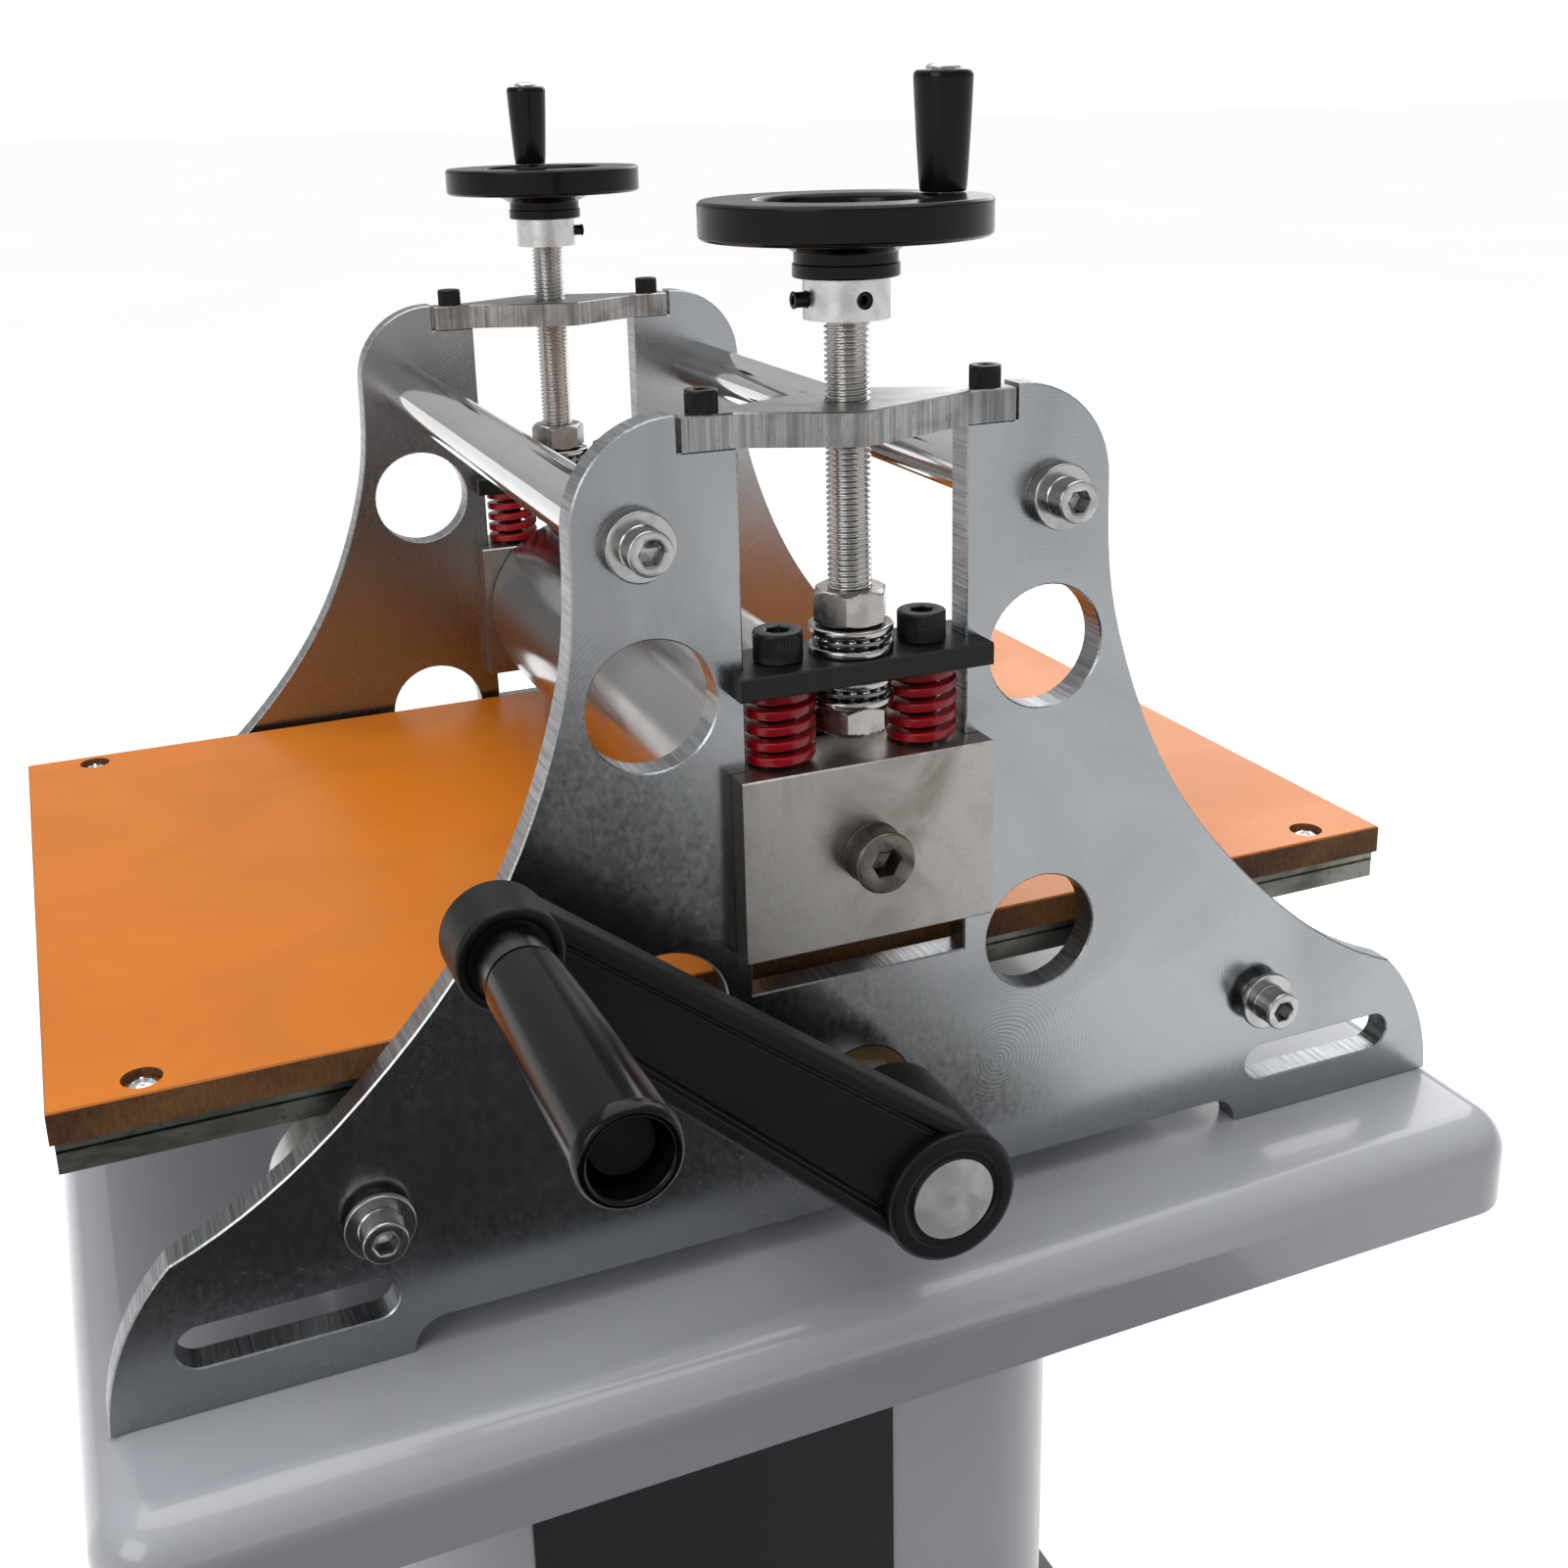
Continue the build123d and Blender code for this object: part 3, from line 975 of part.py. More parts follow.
# ================================================================ pressure screws, nuts, collars, handwheels
UPPER_NUT_LOW = BAR_TOP + THRUST_STACK + FACE_GAP
LOWER_NUT_TOP = BAR_UNDERSIDE - THRUST_STACK - FACE_GAP
SCREW_TOP = WHEEL_BOTTOM + WHEEL_HUB_HIGH + SCREW_OVER
for name, side in SIDES:
    middle = side * PLATE_MID
    screw_axis = Axis((0, middle, 0), (0, 0, 1))
    with BuildPart() as pressure_screw:
        with BuildSketch(level(LOWER_NUT_TOP - LOWER_NUT + NUT_COVER)):
            with Locations((0, middle)):
                Circle(SCREW_D / 2)
        extrude(amount=SCREW_TOP - LOWER_NUT_TOP + LOWER_NUT - NUT_COVER)
    write(pressure_screw.part, f"pressure_screw_{name}")

    with BuildPart() as screw_nuts:
        with BuildSketch(level(UPPER_NUT_LOW)):
            with Locations((0, middle)):
                RegularPolygon(NUT_AF / 2, 6, major_radius=False)
        extrude(amount=UPPER_NUT)
        with BuildSketch(level(LOWER_NUT_TOP)):
            with Locations((0, middle)):
                RegularPolygon(NUT_AF / 2, 6, major_radius=False)
        extrude(amount=-LOWER_NUT)
        with BuildSketch(level(LOWER_NUT_TOP - LOWER_NUT + NUT_COVER)):
            with Locations((0, middle)):
                Circle(SCREW_D / 2 + SEAT_GAP)
        extrude(amount=UPPER_NUT_LOW + UPPER_NUT - LOWER_NUT_TOP + LOWER_NUT, mode=Mode.SUBTRACT)
    write(screw_nuts.part, f"screw_nuts_{name}")

    with BuildPart() as collar:
        with BuildSketch(level(COLLAR_BOTTOM)):
            with Locations((0, middle)):
                Circle(COLLAR_D / 2)
                Circle(SCREW_D / 2 + SEAT_GAP, mode=Mode.SUBTRACT)
        extrude(amount=COLLAR_HIGH)
        hole_mid = STAND_HEIGHT + COLLAR_BOTTOM + COLLAR_HIGH / 2
        for out in ((side, 0, 0), (0, side, 0)):
            with BuildSketch(Plane(origin=(0, middle, hole_mid), z_dir=out)):
                Circle(SET_SCREW_D / 2 + SEAT_GAP)
            extrude(amount=COLLAR_D, mode=Mode.SUBTRACT)
    write(collar.part, f"collar_{name}")

    with BuildPart() as set_screws:
        seat = SCREW_D / 2 + SEAT_GAP
        for out, end in (((side, 0, 0), COLLAR_D / 2 + SET_SCREW_OUT), ((0, side, 0), COLLAR_D / 2 - SET_SCREW_SUNK)):
            with BuildSketch(Plane(origin=(0, middle, hole_mid), z_dir=out).offset(seat)):
                Circle(SET_SCREW_D / 2)
            extrude(amount=end - seat)
    write(set_screws.part, f"set_screws_{name}")

    hub_top = WHEEL_BOTTOM + WHEEL_HUB_HIGH
    rim_low = hub_top + WHEEL_WEB_HIGH
    rim_in = WHEEL_D / 2 - WHEEL_RIM_WIDE
    grip_angle = math.radians(WHEEL_GRIP_ANGLE[name])
    grip_x = WHEEL_GRIP_R * math.cos(grip_angle)
    grip_y = middle + WHEEL_GRIP_R * math.sin(grip_angle)
    with BuildPart() as handwheel:
        with BuildSketch(turned(0, middle)):
            with BuildLine():
                Polyline(
                    (SCREW_D / 2 + SEAT_GAP, WHEEL_BOTTOM),
                    (WHEEL_HUB_D / 2, WHEEL_BOTTOM),
                    (WHEEL_HUB_D / 2, hub_top),
                    (rim_in, hub_top),
                    (WHEEL_D / 2 - WHEEL_EDGE, rim_low),
                    (WHEEL_D / 2, rim_low + WHEEL_EDGE),
                    (WHEEL_D / 2, WHEEL_TOP - WHEEL_EDGE),
                    (WHEEL_D / 2 - WHEEL_EDGE, WHEEL_TOP),
                    (rim_in + WHEEL_EDGE, WHEEL_TOP),
                    (rim_in, WHEEL_TOP - WHEEL_EDGE),
                    (rim_in, WHEEL_TOP - WHEEL_DISH),
                    (0, WHEEL_TOP - WHEEL_DISH),
                    (0, SCREW_TOP + FACE_GAP),
                    (SCREW_D / 2 + SEAT_GAP, SCREW_TOP + FACE_GAP),
                    close=True,
                )
            make_face()
        revolve(axis=screw_axis)
        with BuildSketch(level(WHEEL_TOP)):
            with Locations((grip_x, grip_y)):
                Circle(WHEEL_GRIP_PIN_D / 2 + SEAT_GAP)
        extrude(amount=-WHEEL_RIM_HIGH + WHEEL_PIN_FLOOR, mode=Mode.SUBTRACT)
    write(handwheel.part, f"handwheel_{name}")

    grip_low = WHEEL_TOP + FACE_GAP
    grip_top = grip_low + WHEEL_GRIP_LENGTH
    foot_bevel, top_long, top_across = WHEEL_GRIP_EDGE
    with BuildPart() as wheel_grip_pin:
        with BuildSketch(level(WHEEL_TOP - WHEEL_RIM_HIGH + WHEEL_PIN_FLOOR)):
            with Locations((grip_x, grip_y)):
                Circle(WHEEL_GRIP_PIN_D / 2)
        extrude(amount=grip_top + FACE_GAP - WHEEL_TOP + WHEEL_RIM_HIGH - WHEEL_PIN_FLOOR)
        with BuildSketch(level(grip_top + FACE_GAP)):
            with Locations((grip_x, grip_y)):
                Circle(WHEEL_GRIP_CAP_D / 2)
        extrude(amount=WHEEL_GRIP_CAP)
    write(wheel_grip_pin.part, f"wheel_grip_pin_{name}")

    with BuildPart() as wheel_grip:
        with BuildSketch(turned(grip_x, grip_y)):
            with BuildLine():
                Polyline(
                    (WHEEL_GRIP_PIN_D / 2 + RUN_GAP, grip_low),
                    (WHEEL_GRIP_D / 2 - foot_bevel, grip_low),
                    (WHEEL_GRIP_D / 2, grip_low + foot_bevel),
                    (WHEEL_GRIP_TOP_D / 2, grip_top - top_long),
                    (WHEEL_GRIP_TOP_D / 2 - top_across, grip_top),
                    (WHEEL_GRIP_PIN_D / 2 + RUN_GAP, grip_top),
                    close=True,
                )
            make_face()
        revolve(axis=Axis((grip_x, grip_y, 0), (0, 0, 1)))
    write(wheel_grip.part, f"wheel_grip_{name}")
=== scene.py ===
"""Looks of a hand-cranked roller press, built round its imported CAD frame.

Lengths are metres in the row frame: X is the way the bed travels, Y runs along the rollers away
from the crank, Z is up.  Places come from the boxes of the CAD nodes.  The side plates, bridges,
blocks, bars, rollers, bed and stand keep their CAD shape and get their finish here.  Screws, nuts,
springs, bearings, handwheels, grips and the crank are rebuilt as finer surfaces.
"""

import json
import logging
import math
from dataclasses import dataclass
from enum import Enum

import bpy
import numpy as np
from mathutils import Matrix, Vector


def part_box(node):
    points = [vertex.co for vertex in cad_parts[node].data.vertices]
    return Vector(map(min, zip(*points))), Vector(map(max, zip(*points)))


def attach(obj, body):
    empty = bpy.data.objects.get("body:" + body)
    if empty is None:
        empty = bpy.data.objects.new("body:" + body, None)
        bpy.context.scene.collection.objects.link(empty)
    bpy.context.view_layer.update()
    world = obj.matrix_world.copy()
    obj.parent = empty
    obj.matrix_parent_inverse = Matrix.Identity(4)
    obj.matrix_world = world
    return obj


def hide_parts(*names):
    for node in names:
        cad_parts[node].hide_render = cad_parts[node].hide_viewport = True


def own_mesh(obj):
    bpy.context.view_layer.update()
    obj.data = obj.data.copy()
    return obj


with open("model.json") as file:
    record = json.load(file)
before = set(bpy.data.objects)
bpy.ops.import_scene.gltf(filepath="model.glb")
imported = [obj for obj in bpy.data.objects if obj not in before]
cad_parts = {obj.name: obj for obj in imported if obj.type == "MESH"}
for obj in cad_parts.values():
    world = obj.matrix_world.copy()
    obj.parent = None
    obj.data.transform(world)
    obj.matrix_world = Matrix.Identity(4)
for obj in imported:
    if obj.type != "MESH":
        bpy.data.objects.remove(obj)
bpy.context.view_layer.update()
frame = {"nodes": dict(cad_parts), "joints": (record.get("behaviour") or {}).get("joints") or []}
MM = 0.001
TURN = 2 * math.pi
HAIR = 1e-6  # keeps the two ends of a closed profile apart
log = logging.getLogger("roller_press")

Colour = tuple[float, float, float, float]
Corner = tuple[float, float, float]


class Side(Enum):
    """The two ends of the rollers, with the sign of their place along Y."""

    FRONT = ("front", -1.0)
    REAR = ("rear", 1.0)

    @property
    def word(self) -> str:
        """The word that the CAD nodes of this side end in."""
        return self.value[0]

    @property
    def sign(self) -> float:
        """-1 on the crank side and 1 on the far side."""
        return self.value[1]


class Effect(Enum):
    """The shared shader groups."""

    GRAIN = "stretched_grain"
    BLOTCH = "soft_blotches"
    SCRATCH = "fine_scratches"
    FACING = "faces_along_axis"


# ---------------------------------------------------------------- surfaces
@dataclass
class Skin:
    """A closed surface as points and faces.

    Attributes:
        points: (n, 3) places.
        quads: (m, 4) point numbers.
        tris: (k, 3) point numbers.
    """

    points: np.ndarray
    quads: np.ndarray
    tris: np.ndarray

    def outward(self) -> "Skin":
        """Turns every face over if the volume they enclose is negative.

        The volume is a sixth of the sum of a . (b x c) over the surface's triangles.

        Returns:
            The surface with its faces outwards.
        """
        flat = np.concatenate([self.quads[:, [0, 1, 2]], self.quads[:, [0, 2, 3]], self.tris])
        a, b, c = (self.points[flat[:, k]] for k in range(3))
        if np.einsum("ij,ij->", a, np.cross(b, c)) < 0:
            return Skin(self.points, self.quads[:, ::-1], self.tris[:, ::-1])
        return self

    def placed(
        self, origin: Vector | tuple, axis: tuple[float, float, float] = (0, 0, 1)
    ) -> "Skin":
        """Moves a surface made about +Z so that its axis lies along another way.

        Args:
            origin: where the surface's own origin goes.
            axis: unit vector that +Z becomes.

        Returns:
            The moved surface; X stays along X unless the axis is X.
        """
        up = np.array(axis, float)
        across = np.array([0.0, 1.0, 0.0]) if abs(up[0]) > 0.9 else np.array([1.0, 0.0, 0.0])
        basis = np.stack([across, np.cross(up, across), up])
        return Skin(self.points @ basis + np.array(origin, float), self.quads, self.tris)


def joined(skins: list[Skin]) -> Skin:
    """Puts several closed surfaces in one, each turned outwards first.

    Args:
        skins: the surfaces.

    Returns:
        One surface with all their points and faces.
    """
    skins = [skin.outward() for skin in skins]
    starts = np.cumsum([0] + [len(skin.points) for skin in skins[:-1]])
    return Skin(
        np.concatenate([skin.points for skin in skins]),
        np.concatenate([skin.quads + start for skin, start in zip(skins, starts)]),
        np.concatenate([skin.tris + start for skin, start in zip(skins, starts)]),
    )


def polar(radius: np.ndarray, theta: np.ndarray, height: np.ndarray) -> np.ndarray:
    """Places (r cos a, r sin a, z) on a grid.

    Args:
        radius: distances from the axis.
        theta: angles round it.
        height: heights; the three broadcast to one grid.

    Returns:
        The grid with a last axis of X, Y and Z.
    """
    return np.stack([radius * np.cos(theta), radius * np.sin(theta), height + 0 * theta], axis=-1)


def loft(rings: np.ndarray, hoop: bool = False) -> Skin:
    """Joins a stack of closed rings, each point to the same point of the next ring.

    Args:
        rings: (rows, columns, 3) places; every row is a closed loop.
        hoop: joins the last row to the first, as round a bore; else each end closes in a fan about
            the mean of its ring.

    Returns:
        The closed surface.
    """
    rows, columns = rings.shape[:2]
    number = np.arange(rows * columns).reshape(rows, columns)
    beside = np.roll(number, -1, axis=1)
    if hoop:
        low, low_beside = number, beside
        high, high_beside = np.roll(number, -1, axis=0), np.roll(beside, -1, axis=0)
    else:
        low, low_beside, high, high_beside = number[:-1], beside[:-1], number[1:], beside[1:]
    quads = np.stack([low, low_beside, high_beside, high], axis=-1).reshape(-1, 4)
    points = rings.reshape(-1, 3)
    if hoop:
        return Skin(points, quads, np.zeros((0, 3), int)).outward()
    first, last = np.full(columns, len(points)), np.full(columns, len(points) + 1)
    tris = np.concatenate(
        [np.stack([first, beside[0], number[0]], 1), np.stack([last, number[-1], beside[-1]], 1)]
    )
    ends = np.stack([rings[0].mean(0), rings[-1].mean(0)])
    return Skin(np.concatenate([points, ends]), quads, tris).outward()


def eased(corners: list[Corner], steps: int = 5) -> np.ndarray:
    """Rounds the corners of an open profile.

    Each corner (radius, height, ease) becomes the curve (1-t)^2 P + 2t(1-t) C + t^2 Q, where P
    and Q lie the ease's length before and after the corner C.

    Args:
        corners: the profile's corners in order; an ease of 0 keeps a corner sharp.
        steps: points along a rounded corner, less one.

    Returns:
        (n, 2) radii and heights.
    """
    spots = np.array([corner[:2] for corner in corners], float)
    t = np.linspace(0, 1, steps + 1)[:, None]
    pieces = []
    for k, (_, _, ease) in enumerate(corners):
        if ease <= 0 or k in (0, len(corners) - 1):
            pieces.append(spots[k : k + 1])
            continue
        back, ahead = spots[k - 1] - spots[k], spots[k + 1] - spots[k]
        start = spots[k] + back / np.linalg.norm(back) * min(ease, np.linalg.norm(back) * 0.49)
        end = spots[k] + ahead / np.linalg.norm(ahead) * min(ease, np.linalg.norm(ahead) * 0.49)
        pieces.append((1 - t) ** 2 * start + 2 * t * (1 - t) * spots[k] + t**2 * end)
    return np.concatenate(pieces)


def hexagon(theta: np.ndarray) -> np.ndarray:
    """Distance to a hexagon's outline over its distance to a flat: 1 / cos(theta mod 60 - 30)."""
    return 1 / np.cos(np.mod(theta, math.pi / 3) - math.pi / 6)


def turned(profile: np.ndarray, columns: int = 72, hoop: bool = False) -> Skin:
    """Turns a profile about +Z: (r cos a, r sin a, z) for every angle a.

    Args:
        profile: (n, 2) radii and heights.
        columns: points round the axis.
        hoop: closes the profile on itself.

    Returns:
        The closed surface.
    """
    theta = np.arange(columns) * TURN / columns
    radius, height = profile[:, :1], profile[:, 1:]
    return loft(polar(radius, theta, height), hoop)


def rod_thread(radius: float, depth: float, pitch: float, length: float) -> Skin:
    """Right-hand thread on a rod that stands on its origin.

    The radius is R - depth (1 - h), where h rises and falls once in each pitch of z / pitch minus
    the angle's share of a turn, with flats at crest and root; both ends taper to the root.

    Args:
        radius: crest radius.
        depth: from crest to root.
        pitch: rise of one turn.
        length: height of the rod.

    Returns:
        The closed surface.
    """
    per_pitch, columns = 10, 36
    height = np.linspace(0, length, int(length / pitch * per_pitch) + 1)[:, None]
    theta = (np.arange(columns) * TURN / columns)[None, :]
    phase = np.mod(height / pitch - theta / TURN, 1)
    ridge = np.clip(np.abs(2 * phase - 1) * 1.7 - 0.3, 0, 1)
    taper = np.minimum(1, np.minimum(height, length - height) / (1.5 * depth))
    reach = radius - depth * (1 - ridge * taper)
    return loft(polar(reach, theta, height))


@dataclass
class SocketScrew:
    """A cap screw with a hex socket; its origin is the underside of the head and +Z its top.

    Attributes:
        head_radius, head_height: size of the head.
        shank_radius, shank_length: size of the plain shank.
        socket: from the middle to a flat of the socket.
        knurls: ridges round the head, 0 for a smooth one.
        knurl_depth: depth of the ridges.
    """

    head_radius: float
    head_height: float
    shank_radius: float
    shank_length: float
    socket: float
    knurls: int = 0
    knurl_depth: float = 0.34 * MM

    def skin(self) -> Skin:
        """Builds the screw as one turned surface.

        A row's radius goes from round to hexagonal with its hex share s, r (1 - s + s / cos(a)),
        and is cut by (1 + cos(knurls x angle)) / 2 times the knurl depth where the head is knurled.

        Returns:
            The closed surface.
        """
        r, h, bevel = self.head_radius, self.head_height, 0.09 * self.head_radius
        floor = h * 0.25
        rows = [
            (self.shank_radius * 0.8, -self.shank_length, 0, 0),
            (self.shank_radius, -self.shank_length + self.shank_radius * 0.2, 0, 0),
            (self.shank_radius, 0, 0, 0),
            (r - bevel * 0.5, 0, 0, 0),
            (r, bevel * 0.5, 0, 0),
            (r, bevel, 0, 1),
            (r, h - 2.2 * bevel, 0, 1),
            (r, h - 1.8 * bevel, 0, 0),
            (r - bevel * 0.05, h - bevel, 0, 0),
            (r - bevel * 0.35, h - bevel * 0.35, 0, 0),
            (r - bevel, h, 0, 0),
            (self.socket * 1.2 + bevel * 0.3, h, 0, 0),
            (self.socket, h - bevel * 0.6, 1, 0),
            (self.socket, floor, 1, 0),
            (self.socket * 0.5, floor - self.socket * 0.15, 0.5, 0),
        ]
        radius, height, hexed, ridged = np.array(rows, float).T[:, :, None]
        columns = self.knurls * 4 if self.knurls else 72
        theta = (np.arange(columns) * TURN / columns)[None, :]
        reach = radius * (1 - hexed + hexed * hexagon(theta))
        reach = reach - ridged * self.knurl_depth * (1 + np.cos(self.knurls * theta)) / 2
        return loft(polar(reach, theta, height))


def hex_nut(flat: float, bore: float, height: float, low_face: float = 0.95) -> Skin:
    """A hex nut with both faces turned: its outline is the lesser of the hexagon and a cone.

    Args:
        flat: from the middle to a flat.
        bore: radius of the hole.
        height: thickness; the nut stands on its origin.
        low_face: radius of the lower face as a share of the distance to a flat.

    Returns:
        The closed surface round the bore.
    """
    corner, face, base = flat / math.cos(math.pi / 6), flat * 0.95, flat * low_face
    theta = (np.arange(96) * TURN / 96)[None, :]
    tangent = math.tan(math.radians(32))
    rise = np.linspace(0, 1, 9)
    limit = np.concatenate(
        [base + (corner - base) * rise, corner + (face - corner) * rise]
    )[:, None]
    low_level, high_level = (
        corner - base
    ) * tangent * rise, height - (corner - face) * tangent * (1 - rise)
    level = np.concatenate([low_level, high_level])[:, None]
    sink = 0.5 * MM
    inner = np.array([bore + sink, bore, bore, bore + sink])[:, None] + 0 * theta
    reach = np.concatenate([np.minimum(flat * hexagon(theta), limit), inner])
    inner_level = np.array([height, height - sink, sink, 0])[:, None]
    level = np.concatenate([level, inner_level])
    return loft(polar(reach, theta, level), hoop=True)


def washer(outer: float, bore: float, thick: float, ease: float) -> Skin:
    """A washer with rounded outer edges that lies on its origin: an eased profile turned about +Z.

    Args:
        outer: outer radius.
        bore: radius of the hole.
        thick: thickness.
        ease: length of the rounding of the outer edges.

    Returns:
        The closed surface round the bore.
    """
    corners = [
        (bore, thick / 2, 0),
        (bore, 0, 0.15 * MM),
        (outer, 0, ease),
        (outer, thick, ease),
        (bore, thick, 0.15 * MM),
        (bore, thick / 2 + HAIR, 0),
    ]
    return turned(eased(corners), 72, hoop=True)


# ---------------------------------------------------------------- shader helpers
class Wires:
    """Adds nodes to one node tree and joins them."""

    def __init__(self, tree: bpy.types.NodeTree) -> None:
        """Takes the tree that the nodes go in."""
        self.tree = tree

    def add(self, kind: str, inputs: dict | None = None, **settings: object) -> bpy.types.Node:
        """Adds a node.

        Args:
            kind: the node's type.
            inputs: sockets by name or number, each given a value or another node's output.
            settings: the node's own properties.

        Returns:
            The new node.
        """
        node = self.tree.nodes.new(kind)
        for key, value in settings.items():
            setattr(node, key, value)
        self.plug(node, inputs or {})
        return node

    def plug(self, node: bpy.types.Node, inputs: dict) -> None:
        """Gives a node's sockets their values or joins other nodes' outputs to them.

        Args:
            node: the node.
            inputs: its sockets by name or number.
        """
        for key, value in inputs.items():
            if isinstance(value, bpy.types.NodeSocket):
                self.tree.links.new(value, node.inputs[key])
            else:
                node.inputs[key].default_value = value

    def place(self) -> bpy.types.NodeSocket:
        """Adds the object coordinates and returns them."""
        return self.add("ShaderNodeTexCoord").outputs["Object"]

    def math(
        self, operation: str, a: object, b: object = 0.0, clamp: bool = False
    ) -> bpy.types.NodeSocket:
        """Adds a Math node of two values and returns its output."""
        node = self.add("ShaderNodeMath", {0: a, 1: b}, operation=operation, use_clamp=clamp)
        return node.outputs[0]

    def blend(self, share: object, a: object, b: object) -> bpy.types.NodeSocket:
        """Mixes two colours by a share and returns the mixed colour."""
        return self.add("ShaderNodeMix", {0: share, 6: a, 7: b}, data_type="RGBA").outputs[2]

    def stretch(self, value: object, low: object, high: object) -> bpy.types.NodeSocket:
        """Maps low..high of a value to 0..1, clamped."""
        node = self.add("ShaderNodeMapRange", {0: value, 1: low, 2: high})
        return node.outputs[0]

    def effect(self, effect: Effect, **inputs: object) -> bpy.types.NodeSocket:
        """Adds a shared group.

        Args:
            effect: which group.
            inputs: its sockets by name.

        Returns:
            The group's mask.
        """
        node = self.add("ShaderNodeGroup", node_tree=shared_group(effect))
        self.plug(node, inputs)
        return node.outputs["Mask"]


def new_group(
    effect: Effect, sockets: dict[str, object]
) -> tuple[bpy.types.NodeTree, Wires, bpy.types.Node]:
    """Starts a shader group with one output, Mask.

    Args:
        effect: the group's name.
        sockets: input names with their usual values; a tuple makes a vector socket.

    Returns:
        The group, its wires and its input node.
    """
    group = bpy.data.node_groups.new(effect.value, "ShaderNodeTree")
    for name, usual in sockets.items():
        kind = "NodeSocketVector" if isinstance(usual, tuple) else "NodeSocketFloat"
        socket = group.interface.new_socket(name, in_out="INPUT", socket_type=kind)
        socket.default_value = usual
    group.interface.new_socket("Mask", in_out="OUTPUT", socket_type="NodeSocketFloat")
    wires = Wires(group)
    return group, wires, wires.add("NodeGroupInput")


def shared_group(effect: Effect) -> bpy.types.NodeTree:
    """Finds a shared group, or builds it the first time.

    GRAIN is noise read through stretched object coordinates, drawn out to a mask.
    BLOTCH is large warped noise above a threshold.
    SCRATCH is the thin border between stretched, warped cells, kept only in patches.
    FACING is 1 where the surface looks along an axis either way, 0 where it looks across it.

    Args:
        effect: which group.

    Returns:
        The group.
    """
    known = bpy.data.node_groups.get(effect.value)
    if known:
        return known
    if effect is Effect.GRAIN:
        group, wires, given = new_group(
            effect, {"Stretch": (1, 1, 1), "Scale": 1.0, "Softness": 0.2}
        )
        place = wires.place()
        drawn = wires.add(
            "ShaderNodeVectorMath", {0: place, 1: given.outputs["Stretch"]}, operation="MULTIPLY"
        )
        noise = wires.add(
            "ShaderNodeTexNoise",
            {
                "Vector": drawn.outputs[0], "Scale": given.outputs["Scale"], "Detail": 4.0,
                "Roughness": 0.62
            },
        )
        low = wires.math("SUBTRACT", 0.5, given.outputs["Softness"])
        high = wires.math("ADD", 0.5, given.outputs["Softness"])
        mask = wires.stretch(noise.outputs[0], low, high)
    elif effect is Effect.BLOTCH:
        group, wires, given = new_group(effect, {"Scale": 20.0, "Threshold": 0.5, "Softness": 0.1})
        place = wires.place()
        noise = wires.add(
            "ShaderNodeTexNoise",
            {"Vector": place, "Scale": given.outputs["Scale"], "Detail": 6.0, "Distortion": 0.8},
        )
        high = wires.math("ADD", given.outputs["Threshold"], given.outputs["Softness"])
        mask = wires.stretch(noise.outputs[0], given.outputs["Threshold"], high)
    elif effect is Effect.SCRATCH:
        group, wires, given = new_group(
            effect, {"Stretch": (1, 1, 1), "Scale": 40.0, "Width": 0.01}
        )
        place = wires.place()
        warp = wires.add("ShaderNodeTexNoise", {"Vector": place, "Scale": 9.0})
        bent = wires.add(
            "ShaderNodeVectorMath", {0: warp.outputs[1], "Scale": 0.05}, operation="SCALE"
        )
        moved = wires.add("ShaderNodeVectorMath", {0: place, 1: bent.outputs[0]}, operation="ADD")
        drawn = wires.add(
            "ShaderNodeVectorMath", {
                0: moved.outputs[0], 1: given.outputs["Stretch"]
            }, operation="MULTIPLY"
        )
        cells = wires.add(
            "ShaderNodeTexVoronoi",
            {"Vector": drawn.outputs[0], "Scale": given.outputs["Scale"]},
            feature="DISTANCE_TO_EDGE",
        )
        line = wires.math("LESS_THAN", cells.outputs[0], given.outputs["Width"])
        patch = wires.add("ShaderNodeTexNoise", {"Vector": place, "Scale": 34.0, "Detail": 2.0})
        mask = wires.math("MULTIPLY", line, wires.stretch(patch.outputs[0], 0.56, 0.66))
    else:
        group, wires, given = new_group(effect, {"Axis": (0, 0, 1)})
        normal = wires.add("ShaderNodeNewGeometry").outputs["True Normal"]
        dot = wires.add(
            "ShaderNodeVectorMath", {0: normal, 1: given.outputs["Axis"]}, operation="DOT_PRODUCT"
        )
        mask = wires.stretch(wires.math("ABSOLUTE", dot.outputs["Value"]), 0.55, 0.8)
    wires.add("NodeGroupOutput", {"Mask": mask})
    return group


def grey(value: float, warm: float = 0.0) -> Colour:
    """A grey of that value, made warmer or, below 0, cooler."""
    return (value * (1 + warm), value, value * (1 - warm), 1.0)


